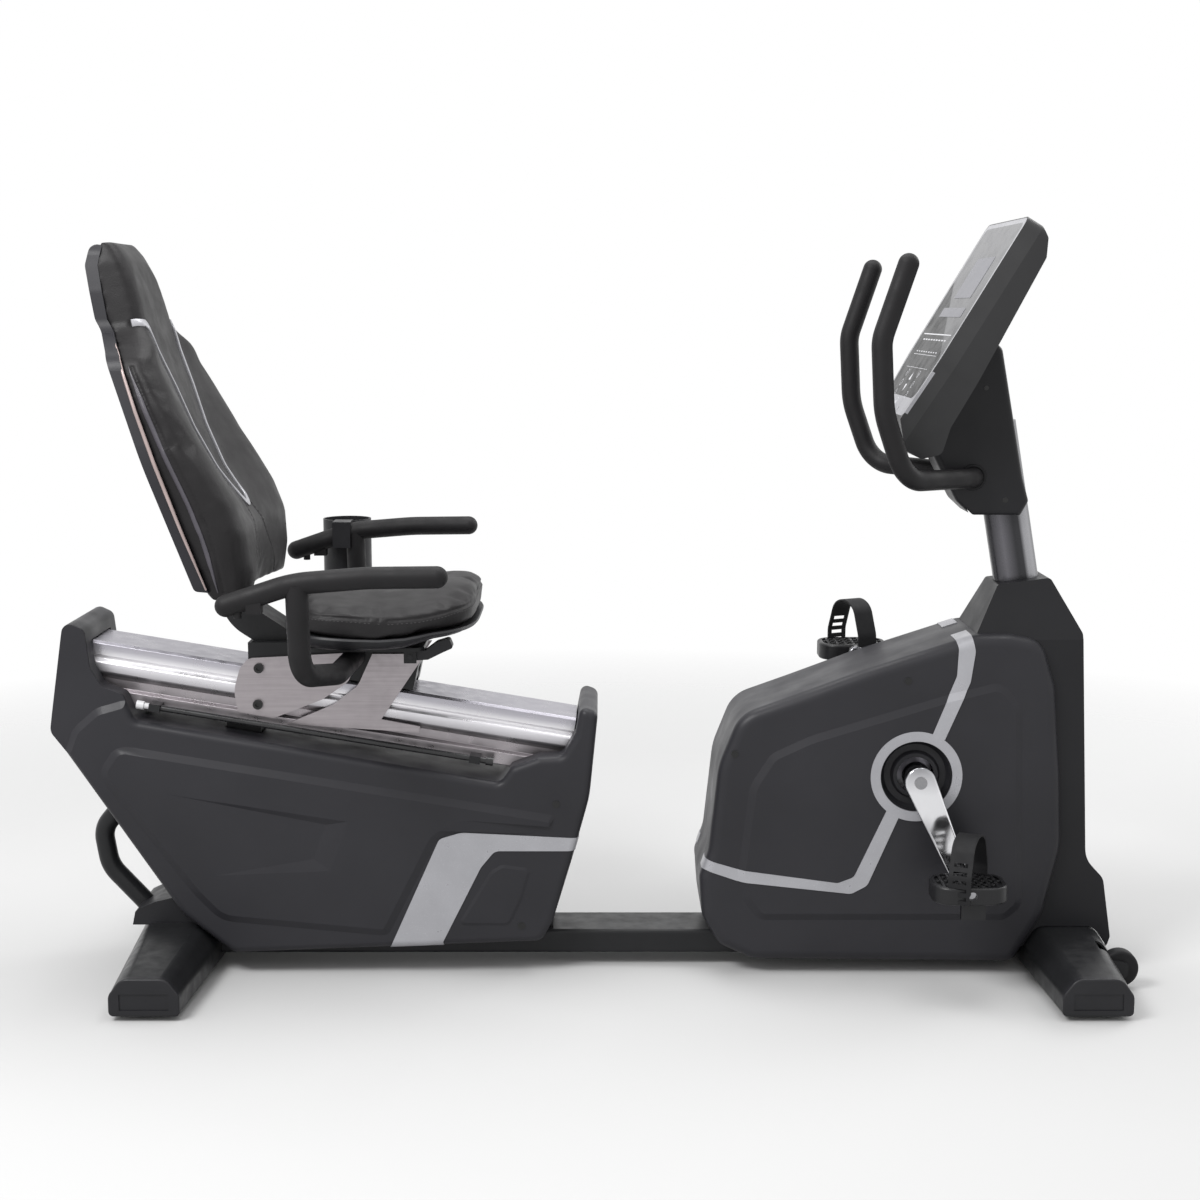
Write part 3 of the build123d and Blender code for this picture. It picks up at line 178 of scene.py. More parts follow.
def finish(
    name,
    colour,
    rough,
    metallic=0.0,
    specular=0.5,
    mottle=0.12,
    scale=14.0,
    rough_span=0.08,
):
    """A material with a soft change of shade and gloss; returns it with its tree, shader and tint."""
    material = bpy.data.materials.new(name)
    material.use_nodes = True
    tree = material.node_tree
    shader = tree.nodes["Principled BSDF"]
    cloud = noise(tree, scale, 4.0)
    share = spread(tree, cloud, 0, 1, NOISE_LOW, NOISE_HIGH)
    tint = mixed(tree, share, shade(colour, 1 - mottle), shade(colour, 1 + mottle))
    tree.links.new(tint, shader.inputs["Base Color"])
    smear = noise(tree, scale * 3.1, 3.0)
    gloss = spread(tree, smear, rough - rough_span, rough + rough_span, NOISE_LOW, NOISE_HIGH)
    tree.links.new(gloss, shader.inputs["Roughness"])
    shader.inputs["Metallic"].default_value = metallic
    shader.inputs["Specular IOR Level"].default_value = specular
    return material, tree, shader, tint


def moulded(name, colour, rough=0.45, grain=1500.0, strength=0.25, **look):
    """Injection-moulded plastic with a fine spark-eroded texture."""
    material, tree, shader, tint = finish(name, colour, rough, **look)
    fine = noise(tree, grain, 2.0)
    wide = noise(tree, 9.0, 2.0)
    bumped(tree, shader, [(wide, 0.12, 0.004), (fine, strength, 0.0003)])
    return material


def painted(name, colour, rough=0.38, **look):
    """Powder coat: a slight orange peel and paler rubbed specks."""
    material, tree, shader, tint = finish(name, colour, rough, **look)
    peel = noise(tree, 420.0, 2.0)
    speck = spread(tree, noise(tree, 900.0, 1.0), 0, 0.35, 0.66, 0.8)
    worn = mixed(tree, speck, tint, shade(colour, 2.2))
    recolour(tree, shader, worn)
    bumped(tree, shader, [(peel, 0.18, 0.0004)])
    return material


def brushed(name, colour, rough, stretch, tilt=0.0, strength=0.15, **look):
    """Metal with fine lines along one direction."""
    material, tree, shader, tint = finish(name, colour, rough, metallic=1.0, **look)
    lines = noise(tree, 1.0, 3.0, place(tree, stretch, tilt), 0.6)
    share = spread(tree, lines, 0, 1, 0.25, 0.75)
    streak = mixed(tree, share, shade(colour, 0.88), shade(colour, 1.08))
    recolour(tree, shader, streak)
    bumped(tree, shader, [(lines, strength, 0.0002)])
    return material


def ramp(tree, value, stops):
    """A colour ramp from (place, colour) stops."""
    node = tree.nodes.new("ShaderNodeValToRGB")
    tree.links.new(value, node.inputs["Fac"])
    elements = node.color_ramp.elements
    for spot, colour in stops[2:]:
        elements.new(spot)
    for element, (spot, colour) in zip(elements, sorted(stops)):
        element.position = spot
        element.color = (*colour, 1)
    return node.outputs["Color"]


def measured(tree, direction, low, high):
    """0 to 1 along a direction, between two distances from the origin in metres."""
    coords = tree.nodes.new("ShaderNodeTexCoord")
    dot = add(tree, "ShaderNodeVectorMath", i0=coords.outputs["Object"], i1=direction)
    dot.operation = "DOT_PRODUCT"
    return spread(tree, dot.outputs["Value"], 0, 1, low, high)


def extruded(name):
    """Anodised aluminium extrusion: long drawing lines, and bands across its height with painted light
    and shade: a painted highlight along the upper band and a thin painted shadow line lower down.
    """
    material, tree, shader, tint = finish(name, (0.62, 0.605, 0.635), 0.33, metallic=0.85, mottle=0.04)
    across_rail = (math.sin(RAIL_TILT), 0, math.cos(RAIL_TILT))
    lines = noise(tree, 1.0, 2.0, place(tree, (1.5, 260, 420), RAIL_TILT), 0.5)
    height = measured(tree, across_rail, RAIL_LOW, RAIL_HIGH)
    drawn = spread(tree, lines, 0, 0.07, NOISE_LOW, NOISE_HIGH)
    # the bands paint the rail's highlight and shade into its colour
    recolour(tree, shader, mixed(tree, drawn, ramp(tree, height, RAIL_PAINTED_LIGHT), (0.2, 0.19, 0.2)))
    bumped(tree, shader, [(lines, 0.006, 0.0001)])
    return material


def mast_finish(name):
    """Dark metallic paint with painted light and shade by depth through the mast: a bright painted
    highlight strip near its front, a fainter one further back, and darker bands between.
    """
    material, tree, shader, tint = finish(name, (0.09, 0.088, 0.098), 0.27, metallic=0.6, specular=0.3)
    forward = (math.cos(MAST_LEAN), 0, math.sin(MAST_LEAN))
    middle = MAST_FOOT[0] * forward[0] + MAST_FOOT[1] * forward[2]
    depth = measured(tree, forward, middle - MAST_HALF_DEPTH, middle + MAST_HALF_DEPTH)
    # painted highlight and shade across the mast, as a round tube would catch the light
    recolour(tree, shader, ramp(tree, depth, MAST_PAINTED_LIGHT))
    bumped(tree, shader, [(noise(tree, 420.0), 0.1, 0.0003)])
    return material


def polished(name):
    """Bright chrome with a painted reflection: broad darker and lighter sweeps in its colour."""
    look = {"mottle": 0.03, "rough_span": 0.04}
    material, tree, shader, tint = finish(name, (0.6, 0.6, 0.62), 0.12, 1.0, **look)
    chrome_painted_reflection = noise(tree, 1.0, 0.0, place(tree, (24, 14, 9)))
    # dark and bright stops: a painted reflection in the chrome's colour
    stops = [(0.36, (0.16, 0.16, 0.17)), (0.62, (0.8, 0.8, 0.82)), (0.48, (0.5, 0.5, 0.52))]
    recolour(tree, shader, ramp(tree, chrome_painted_reflection, stops))
    return material


def rod_finish(name):
    """A rod with bright ends, its middle painted near-black as painted shade where it lies in the
    recess's shadow.
    """
    # the dark middle is painted shade; only the ends are left bright
    bright, dark = (0.55, 0.55, 0.56), (0.012, 0.012, 0.013)
    material, tree, shader, tint = finish(name, dark, 0.3, mottle=0.1)
    along = measured(tree, (1, 0, 0), ROD_X[0], ROD_X[1])
    stops = [(0.0, bright), (1.0, bright)]
    stops += [(0.02, bright), (0.024, dark), (0.976, dark), (0.98, bright)]
    recolour(tree, shader, ramp(tree, along, stops))
    bumped(tree, shader, [(noise(tree, 700.0), 0.1, 0.0002)])
    return material


def upholstery(name, colour, rough=0.5, **look):
    """Grained vinyl: rounded pebbles of about a millimetre, broad soft creases and a soft sheen."""
    look = {"mottle": 0.14, "scale": 9.0, "rough_span": 0.07, **look}
    material, tree, shader, tint = finish(name, colour, rough, **look)
    pebbles = add(tree, "ShaderNodeTexVoronoi", Vector=place(tree), Scale=780.0)
    pebbles.feature = "SMOOTH_F1"
    grain = pebbles.outputs["Distance"]
    fine = noise(tree, 2600.0, 2.0)
    soft = noise(tree, 22.0, 3.0)
    bumped(tree, shader, [(soft, 0.25, 0.003), (grain, 0.35, 0.0005), (fine, 0.15, 0.0002)])
    return material


def rubbery(name, colour, rough=0.6, grain=700.0, strength=0.3, **look):
    """Soft grip or rubber with a fine open grain."""
    material, tree, shader, tint = finish(name, colour, rough, specular=0.22, **look)
    fine = noise(tree, grain, 3.0)
    wide = noise(tree, 60.0, 2.0)
    bumped(tree, shader, [(fine, strength, 0.0005), (wide, 0.15, 0.001)])
    return material


def glassy(name, colour):
    """The console's glossy window with a painted reflection: dark below, paler above a slanting edge
    and paler still higher up.
    """
    material, tree, shader, tint = finish(name, colour, 0.2, specular=0.03, mottle=0.06)
    slant = measured(tree, REFLECTION_SLOPE, REFLECTION_EDGE, REFLECTION_EDGE + 0.004)
    fade = measured(tree, (0, 0, 1), 0.95, 1.22)
    # painted reflection: lighter colour above the slanting edge, growing lighter with height
    glass_painted_reflection = mixed(tree, fade, (0.085, 0.085, 0.088), (0.15, 0.15, 0.155))
    recolour(tree, shader, mixed(tree, slant, tint, glass_painted_reflection))
    bumped(tree, shader, [(noise(tree, 30.0, 2.0), 0.03, 0.001)])
    return material


def printed_ink(name, colour, rough, **look):
    """A flat print on the glass."""
    material, tree, shader, tint = finish(name, colour, rough, **look)
    return material


CHARCOAL = (0.021, 0.0207, 0.024)
MATERIALS = {
    "casing": moulded("casing_plastic", CHARCOAL, 0.42, specular=0.22, mottle=0.12, scale=5.0),
    "cover": moulded("cover_plastic", (0.012, 0.012, 0.014), 0.45, grain=1200.0, specular=0.3),
    "shroud": moulded("shroud_plastic", (0.0105, 0.0105, 0.012), 0.42, specular=0.22, scale=5.0),
    "console": moulded("console_plastic", (0.017, 0.017, 0.018), 0.4, specular=0.35),
    "pedal": moulded("pedal_plastic", (0.008, 0.008, 0.009), 0.4, 800.0, 0.45, specular=0.35),
    "frame": painted("frame_paint", (0.0115, 0.0118, 0.0128), 0.36, specular=0.24),
    "mast": mast_finish("mast_paint"),
    "silver": painted("trim_silver", (0.33, 0.33, 0.35), 0.34, metallic=0.35, mottle=0.06),
    "rail": extruded("rail_aluminium"),
    "plate": brushed(
        "plate_metal",
        (0.345, 0.318, 0.33),
        0.42,
        (8, 300, 260),
        RAIL_TILT,
        0.02,
        mottle=0.14,
        scale=22.0,
    ),
    "steel": brushed("machined_steel", (0.3, 0.3, 0.31), 0.34, (300, 20, 300), strength=0.05),
    "screw": painted("black_screws", (0.006, 0.006, 0.006), 0.3, specular=0.4),
    "iron": brushed("turned_iron", (0.2, 0.2, 0.21), 0.42, (30, 600, 30), strength=0.05),
    "chrome": polished("polished_chrome"),
    "rod": rod_finish("lock_rod"),
    "rubber": rubbery("black_rubber", (0.009, 0.009, 0.01), 0.62, 500.0),
    "grip": rubbery("grip_foam", (0.0085, 0.008, 0.0088), 0.55, 950.0),
    "vinyl": upholstery("seat_vinyl", (0.0135, 0.0128, 0.0135), 0.46, specular=0.17),
    # a lighter copy of the seat vinyl: painted highlight along the side ridge
    "ridge": upholstery("ridge_vinyl_painted_highlight", (0.05, 0.046, 0.056), 0.4),
    "console_front": moulded("console_front_plastic", (0.03, 0.03, 0.031), 0.4, specular=0.3),
    "thread": rubbery("stitch_thread", (0.06, 0.058, 0.06), 0.7, 4000.0, 0.5),
    "belt": rubbery("drive_belt", (0.01, 0.01, 0.01), 0.6, 300.0),
    # a pale pinkish satin: painted highlight along the backrest shell's edge
    "bead": painted("bead_painted_highlight", (0.34, 0.27, 0.26), 0.35, metallic=0.3),
    "glass": glassy("console_glass", (0.012, 0.0122, 0.013)),
    "window": printed_ink(
        "display_window",
        (0.15, 0.15, 0.165),
        0.3,
        specular=0.1,
        mottle=0.03,
        scale=20.0,
        rough_span=0.02,
    ),
    "print": printed_ink("printed_mark", (0.5, 0.5, 0.52), 0.4, mottle=0.08, scale=300.0),
}


# which CAD nodes take which material
FINISHES = {
    "casing": "rear_casing_right rear_casing_left front_casing_right front_casing_left"
    " front_casing_strip backrest_shell",
    "shroud": "mast_shroud neck_cover_front neck_cover_rear",
    "cover": "stabiliser_end_caps rear_foot_cover crank_surrounds seat_lever bottle_holder brake_motor",
    "console": "console_housing_rear",
    "console_front": "console_housing_front",
    "pedal": "pedal_right pedal_left carriage_roller_rear carriage_roller_front",
    "frame": "main_beam rear_stabiliser front_stabiliser rail_posts front_frame carriage_frame"
    " backrest_frame",
    "mast": "mast",
    "silver": "rear_casing_trims front_casing_trims console_bezel",
    "rail": "seat_rail drive_pulley",
    "plate": "carriage_plates",
    "steel": "crank_bearings brake_magnets crank_axle",
    "screw": "casing_screws carriage_bolts",
    "rod": "lock_rod",
    "iron": "flywheel",
    "chrome": "crank_right crank_left",
    "rubber": "levelling_foot_rear_right levelling_foot_rear_left levelling_foot_front_right"
    " levelling_foot_front_left transport_wheel_right transport_wheel_left pedal_strap_right"
    " pedal_strap_left",
    "grip": "handlebar armrest_right armrest_left",
    "belt": "drive_belt",
    "glass": "console_panel",
    "vinyl": "seat_cushion backrest_cushion backrest_trim",
}


def paint(obj, material):
    """Every material slot of a CAD node takes the material."""
    if not obj.material_slots:
        obj.data.materials.append(material)
    for place_for_it in obj.material_slots:
        place_for_it.link = "OBJECT"
        place_for_it.material = material


for finish_name, names in FINISHES.items():
    for name in names.split():
        paint(NODES[name], MATERIALS[finish_name])


# ------------------------------------------------------------------ mesh helpers
def piece(name, vertices, faces, material, body, sharp=None):
    """A smooth-shaded mesh piece that rides on a body; edges over the sharp angle stay crisp."""
    mesh = bpy.data.meshes.new(name)
    mesh.from_pydata([tuple(v) for v in vertices], [], faces)
    mesh.validate()
    obj = bpy.data.objects.new(name, mesh)
    scene.collection.objects.link(obj)
    tidy_normals(mesh)
    mesh.materials.append(MATERIALS[material])
    smooth(mesh, sharp)
    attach(obj, body)
    return obj


def tidy_normals(mesh):
    """Turns every face of a closed mesh outwards."""
    work = bmesh.new()
    work.from_mesh(mesh)
    bmesh.ops.recalc_face_normals(work, faces=work.faces)
    work.to_mesh(mesh)
    work.free()


def smooth(mesh, sharp=None):
    """Smooth shading, with edges over the sharp angle left crisp."""
    mesh.polygons.foreach_set("use_smooth", [True] * len(mesh.polygons))
    if sharp is not None:
        mesh.set_sharp_from_angle(angle=math.radians(sharp))
    mesh.update()


def baked(obj):
    """The object's mesh with its modifiers applied and removed."""
    evaluated = obj.evaluated_get(bpy.context.evaluated_depsgraph_get())
    mesh = bpy.data.meshes.new_from_object(evaluated)
    obj.modifiers.clear()
    old = obj.data
    obj.data = mesh
    bpy.data.meshes.remove(old)
    return obj


def coordinates(mesh):
    """The mesh's points as rows of x, y and z."""
    flat = np.empty(len(mesh.vertices) * 3)
    mesh.vertices.foreach_get("co", flat)
    return flat.reshape(-1, 3)


def set_coordinates(mesh, points):
    """Moves the mesh's points to the given rows."""
    mesh.vertices.foreach_set("co", np.ascontiguousarray(points).ravel())
    mesh.update()


def normals(mesh):
    """The normal at each of the mesh's points."""
    flat = np.empty(len(mesh.vertices) * 3)
    mesh.vertex_normals.foreach_get("vector", flat)
    return flat.reshape(-1, 3)


def plump(obj):
    """Remeshes a pad, fills it like a cushion under a little pressure, and adds one subdivision."""
    remesh = obj.modifiers.new("even", "REMESH")
    remesh.mode = "VOXEL"
    remesh.voxel_size = VOXEL
    remesh.use_smooth_shade = True
    baked(obj)
    before = coordinates(obj.data)
    cloth = obj.modifiers.new("fill", "CLOTH")
    cloth.settings.use_pressure = True
    cloth.settings.uniform_pressure_force = FILL_PRESSURE
    cloth.settings.quality = 5
    cloth.settings.tension_stiffness = 40
    cloth.settings.compression_stiffness = 40
    cloth.settings.bending_stiffness = 6
    cloth.settings.effector_weights.gravity = 0
    cloth.collision_settings.use_collision = False
    cloth.point_cache.frame_end = SIM_FRAMES
    for number in range(1, SIM_FRAMES + 1):
        scene.frame_set(number)
    baked(obj)
    scene.frame_set(1)
    after = coordinates(obj.data)
    move = after - before
    far = np.maximum(np.linalg.norm(move, axis=1, keepdims=True), 1e-9)
    set_coordinates(obj.data, before + move * np.minimum(1.0, FILL_CAP / far))
    relax = obj.modifiers.new("relax", "SMOOTH")
    relax.factor = 0.5
    relax.iterations = 3
    finer = obj.modifiers.new("finer", "SUBSURF")
    finer.levels = 1
    finer.render_levels = 1
    baked(obj)
    smooth(obj.data)
    return obj


def groove(obj, path, width, depth):
    """Presses a narrow channel into a mesh along a path of points."""
    tree = KDTree(len(path))
    for index, point in enumerate(path):
        tree.insert(point, index)
    tree.balance()
    points = coordinates(obj.data)
    directions = normals(obj.data)
    reach = 3 * width
    low = np.min(np.array(path), axis=0) - reach
    high = np.max(np.array(path), axis=0) + reach
    near = np.where(np.all((points > low) & (points < high), axis=1))[0]
    for index in near:
        _, _, far = tree.find(Vector(points[index]))
        if far < reach:
            points[index] -= directions[index] * depth * math.exp(-((far / width) ** 2))
    set_coordinates(obj.data, points)


def surface(obj):
    """The object's mesh as a form that rays can be cast on."""
    points = [vertex.co for vertex in obj.data.vertices]
    return BVHTree.FromPolygons(points, [face.vertices[:] for face in obj.data.polygons])


def dense(points, step):
    """Points evenly spaced along straight runs."""
    out = []
    for start, end in zip(points, points[1:]):
        run = (end - start).length
        count = max(1, round(run / step))
        out += [start.lerp(end, i / count) for i in range(count)]
    return out + [points[-1]]


def ring_faces(first, size, rings, wrap=False):
    """Faces between neighbouring rings of vertices; wrap joins the last ring to the first."""
    faces = []
    for ring in range(rings if wrap else rings - 1):
        low = first + ring * size
        high = first + (ring + 1) % rings * size
        for turn in range(size):
            beside = (turn + 1) % size
            faces.append((low + turn, low + beside, high + beside, high + turn))
    return faces


def tube(name, path, radii, material, body, closed=False, sides=10):
    """A round bead along a path, with a radius for each point."""
    count = len(path)
    vertices = []
    side = Vector((0, 1, 0))
    for index, point in enumerate(path):
        after = path[(index + 1) % count] if closed or index < count - 1 else point
        before = path[index - 1] if closed or index > 0 else point
        along = (after - before).normalized()
        side = (side - along * side.dot(along)).normalized()
        up = along.cross(side)
        for turn in range(sides):
            angle = 2 * math.pi * turn / sides
            vertices.append(point + (side * math.cos(angle) + up * math.sin(angle)) * radii[index])
    faces = ring_faces(0, sides, count, closed)
    if not closed:
        faces.append(tuple(range(sides)))
        faces.append(tuple(range((count - 1) * sides, count * sides)))
    return piece(name, vertices, faces, material, body, 50)


def strip(name, path, outward, widths, height, material, body, sunk=0.002):
    """A low strip with a softly rounded top along a path; outward holds the surface's normals."""
    section = [(-0.5, -1), (-0.5, 0.55), (-0.38, 0.9), (0, 1), (0.38, 0.9), (0.5, 0.55), (0.5, -1)]
    vertices = []
    size, last = len(section), len(path) - 1
    for index, point in enumerate(path):
        along = (path[min(index + 1, last)] - path[max(index - 1, 0)]).normalized()
        normal = outward[index]
        across = along.cross(normal).normalized()
        for offset, rise in section:
            lift = height * rise if rise > 0 else -sunk
            vertices.append(point + across * offset * widths[index] + normal * lift)
    faces = ring_faces(0, size, len(path))
    faces += [tuple(range(size)), tuple(range(last * size, (last + 1) * size))]
    return piece(name, vertices, faces, material, body, 35)


def stitches(name, path, outward, body, sides=6):
    """Short threads along a path, each one lying on the surface."""
    vertices, faces = [], []
    travelled = 0.0
    for index in range(1, len(path)):
        run = path[index] - path[index - 1]
        travelled += run.length
        if travelled < STITCH_PITCH:
            continue
        travelled = 0.0
        along, normal = run.normalized(), outward[index]
        across = along.cross(normal).normalized()
        first = len(vertices)
        for shift, size in ((-0.5, 0.4), (-0.35, 1.0), (0.35, 1.0), (0.5, 0.4)):
            radius = STITCH_RADIUS * size
            middle = path[index] + along * shift * STITCH_LENGTH + normal * radius * 0.6
            for turn in range(sides):
                angle = 2 * math.pi * turn / sides
                spoke = across * math.cos(angle) + normal * math.sin(angle)
                vertices.append(middle + spoke * radius)
        faces += ring_faces(first, sides, 4)
        faces.append(tuple(range(first, first + sides)))
        faces.append(tuple(range(first + 3 * sides, first + 4 * sides)))
    return piece(name, vertices, faces, "thread", body)


def curve_at(knots, place_on_it):
    """A value read from (place, value) knots, along straight lines between them."""
    places, values = zip(*knots)
    return float(np.interp(place_on_it, places, values))


# ------------------------------------------------------------------ seat cushion
SEAT_CENTRE_X = -0.331
SEAT_HALF_LENGTH = 0.151
SEAT_HALF_WIDTH = 0.212
# how square the plan is, and how much narrower at the front
SEAT_SQUARENESS = 4.2
SEAT_TAPER = 0.15
# half the level middle, and the width over which each side falls
SEAT_LEVEL = 0.05
SEAT_FALL = 0.16
SEAT_INSET = 0.975
SEAT_BULGE = 0.012
# how far below the top's edge the sewn channel and its stitches run
SEAT_SEAM_DROP = 0.007
SEAT_STITCH_DROP = 0.013
SEAT_GROOVE = (0.0022, 0.0022)
# heights along the seat, each line as (x, z) knots from the back to the front
SEAT_CROWN = [
    (-0.482, 0.634),
    (-0.46, 0.638),
    (-0.40, 0.635),
    (-0.33, 0.633),
    (-0.27, 0.640),
    (-0.225, 0.644),
    (-0.18, 0.638),
]
SEAT_EDGE = [
    (-0.482, 0.620),
    (-0.443, 0.620),
    (-0.391, 0.618),
    (-0.317, 0.613),
    (-0.268, 0.616),
    (-0.219, 0.623),
    (-0.18, 0.622),
]
SEAT_SEAM = [
    (-0.482, 0.583),
    (-0.425, 0.580),
    (-0.34, 0.576),
    (-0.291, 0.579),
    (-0.25, 0.586),
    (-0.18, 0.590),
]
SEAT_UNDER = [
    (-0.482, 0.562),
    (-0.434, 0.5565),
    (-0.342, 0.5565),
    (-0.30, 0.559),
    (-0.25, 0.573),
    (-0.18, 0.578),
]


def seat_plan(angle, reach):
    """A point of the seat's rounded plan: reach is 0 in the middle and 1 on the edge."""
    power = 2 / SEAT_SQUARENESS
    c, s = math.cos(angle), math.sin(angle)
    x = SEAT_CENTRE_X + SEAT_HALF_LENGTH * reach * math.copysign(abs(c) ** power, c)
    taper = 1 - SEAT_TAPER * max(0.0, (x - SEAT_CENTRE_X) / SEAT_HALF_LENGTH) ** 2
    y = SEAT_HALF_WIDTH * taper * reach * math.copysign(abs(s) ** power, s)
    return x, y


def seat_top(x, y):
    """The seat's top: level across the middle, falling to its edge line at the sides."""
    share = min(1.0, max(0.0, (abs(y) - SEAT_LEVEL) / SEAT_FALL))
    fall = share * share * (3 - 2 * share)
    return curve_at(SEAT_CROWN, x) * (1 - fall) + curve_at(SEAT_EDGE, x) * fall


def ringed(name, rings, material, body, sharp=None):
    """A closed form from rings of points, one inside the next, with both ends closed by a fan."""
    size = len(rings[0])
    vertices = [point for ring in rings for point in ring]
    faces = ring_faces(0, size, len(rings))
    for ring in (0, len(rings) - 1):
        first = ring * size
        middle = sum((Vector(point) for point in rings[ring]), Vector()) / size
        vertices.append(middle)
        faces += [(first + turn, first + (turn + 1) % size, len(vertices) - 1) for turn in range(size)]
    return piece(name, vertices, faces, material, body, sharp)


def seat_ring(reach, height, turns=96):
    """A ring of the seat's plan, lifted to the height that the function gives."""
    ring = []
    for turn in range(turns):
        x, y = seat_plan(2 * math.pi * turn / turns, reach)
        ring.append(Vector((x, y, height(x, y))))
    return ring


def make_seat_pad():
    """The padded top, with a channel sewn round its edge and the stitches below it."""

    def side_height(x, y, share):
        return seat_top(x, y) * (1 - share) + (curve_at(SEAT_SEAM, x) + 0.004) * share

    def bottom(x, y):
        return curve_at(SEAT_SEAM, x) + 0.003

    rings = [seat_ring(reach, seat_top) for reach in (0.08, 0.25, 0.45, 0.65, 0.8, 0.9, 0.955)]
    rings.append(seat_ring(SEAT_INSET, lambda x, y: seat_top(x, y) - 0.002))
    for share in (0.3, 0.6, 0.85):
        reach = SEAT_INSET + SEAT_BULGE * math.sin(math.pi * share)
        rings.append(seat_ring(reach, lambda x, y, share=share: side_height(x, y, share)))
    rings += [seat_ring(reach, bottom) for reach in (0.96, 0.7, 0.35, 0.08)]
    pad = ringed("seat_pad", rings, "vinyl", "carriage")
    plump(pad)

    form = surface(pad)
    seam, seam_out, sewn, sewn_out = [], [], [], []
    count = 720
    for turn in range(count):
        angle = 2 * math.pi * turn / count
        x, y = seat_plan(angle, 1.3)
        top = seat_top(*seat_plan(angle, 1.0))
        lines = ((SEAT_SEAM_DROP, seam, seam_out), (SEAT_STITCH_DROP, sewn, sewn_out))
        for drop, points, outs in lines:
            start = Vector((x, y, top - drop))
            goal = Vector((SEAT_CENTRE_X, 0, top - drop))
            hit, normal, _, _ = form.ray_cast(start, (goal - start).normalized())
            if hit:
                points.append(hit)
                outs.append(normal)
    groove(pad, seam, *SEAT_GROOVE)
    stitches("seat_stitching", sewn, sewn_out, "carriage")
    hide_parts("seat_cushion")


def make_seat_pan():
    """The moulded pan under the pad."""

    def under(x, y):
        return curve_at(SEAT_UNDER, x)

    def rim(x, y):
        return curve_at(SEAT_SEAM, x) - 0.0005

    rings = [seat_ring(reach, rim) for reach in (0.1, 0.9, 0.962)]
    rings.append(seat_ring(0.972, lambda x, y: rim(x, y) - 0.003))
    rings.append(seat_ring(0.955, lambda x, y: rim(x, y) * 0.5 + under(x, y) * 0.5))
    rings.append(seat_ring(0.90, lambda x, y: under(x, y) + 0.003))
    rings += [seat_ring(reach, under) for reach in (0.86, 0.1)]
    ringed("seat_pan", rings, "cover", "carriage", 40)


# ------------------------------------------------------------------ backrest
# half widths by height, then the front and the rear as (z, x) knots from the bottom up
BACK_WIDTH = [
    (0.632, 0.203),
    (0.66, 0.212),
    (0.75, 0.223),
    (0.85, 0.226),
    (0.93, 0.216),
    (0.985, 0.200),
    (1.008, 0.186),
    (1.026, 0.160),
    (1.042, 0.130),
    (1.06, 0.113),
    (1.11, 0.104),
    (1.16, 0.093),
    (1.19, 0.078),
]
BACK_CENTRE = [
    (0.625, -0.548),
    (0.684, -0.543),
    (0.74, -0.550),
    (0.778, -0.573),
    (0.80, -0.590),
    (0.827, -0.609),
    (0.894, -0.641),
    (0.958, -0.664),
    (1.016, -0.6875),
    (1.058, -0.701),
    (1.089, -0.709),
    (1.13, -0.7205),
    (1.17, -0.735),
    (1.19, -0.748),
]
BACK_WING = [
    (0.625, -0.533),
    (0.684, -0.530),
    (0.74, -0.536),
    (0.789, -0.555),
    (0.83, -0.579),
    (0.876, -0.607),
    (0.931, -0.637),
    (0.993, -0.669),
    (1.022, -0.678),
    (1.058, -0.704),
    (1.089, -0.711),
    (1.13, -0.7225),
    (1.17, -0.737),
    (1.19, -0.75),
]
BACK_REAR = [
    (0.625, -0.580),
    (0.650, -0.592),
    (1.012, -0.722),
    (1.066, -0.757),
    (1.15, -0.773),
    (1.196, -0.765),
]
BACK_TOP = 1.19
BACK_BOTTOM = 0.633
# the wings' crest and the start of the rolled edge, as a share of the half width
CREST = 0.8
HEAD_FROM = 1.03
EDGE_ROLL = 0.024
HEAD_ROLL = 0.02
# the pad starts this much narrower than the outline and this far into the shell
PAD_INSET = 0.002
PAD_SINK = 0.006
PAD_SKIN = 0.004
PAD_REAR_SHARE = 0.985
# the V: its tip, half its width there, how fast it opens and where it stops
V_TIP_Z = 0.782
V_TIP_HALF = 0.014
V_OPENING = 0.26
V_TOP_Z = 1.062
V_TAB = [(0.118, 1.056), (0.104, 1.0615), (0.092, 1.0605)]
# the silver line's width along its run, at its upper tabs and at the V's foot
LINE_WIDTH = 0.0055
LINE_TAB = 0.007
LINE_FOOT = 0.006
LINE_HEIGHT = 0.0026
# each channel's width and depth
V_GROOVE = (0.004, 0.003)
LOW_GROOVE = (0.002, 0.0016)
SIDE_GROOVE = (0.0025, 0.003)
# the side seam and the piping: from and to height, and their places between rear and front
SIDE_SEAM_Z = (0.65, 0.995)
SEAM_PLACE = 0.62
PIPING_PLACE = 0.40
PIPING_WIDTH = 0.0075
PIPING_HEIGHT = 0.002
# the beads, coloured as a painted highlight: from and to height, and their radius
HIGHLIGHT_BEAD_Z = (0.655, 1.03)
HIGHLIGHT_BEAD_RADIUS = 0.0026


def v_half_width(z):
    """Half the width of the V-shaped middle panel."""
    return V_TIP_HALF + V_OPENING * max(0.0, min(z, V_TOP_Z) - V_TIP_Z)


def back_front(y, z):
    """Where the backrest's padded front lies."""
    half = curve_at(BACK_WIDTH, z)
    centre, wing = curve_at(BACK_CENTRE, z), curve_at(BACK_WING, z)
    inner = v_half_width(z) if z > V_TIP_Z - 0.02 else 0.01
    crest = max(inner + 0.04, CREST * half)
    share = min(1.0, max(0.0, (abs(y) - inner) / (crest - inner)))
    x = centre + (wing - centre) * share * share * (3 - 2 * share)
    roll_from = CREST * half
    roll = EDGE_ROLL if z < HEAD_FROM else HEAD_ROLL
    past = min(1.0, max(0.0, (abs(y) - roll_from) / (half - roll_from)))
    return x - roll * (1 - math.sqrt(max(0.0, 1 - past * past)))


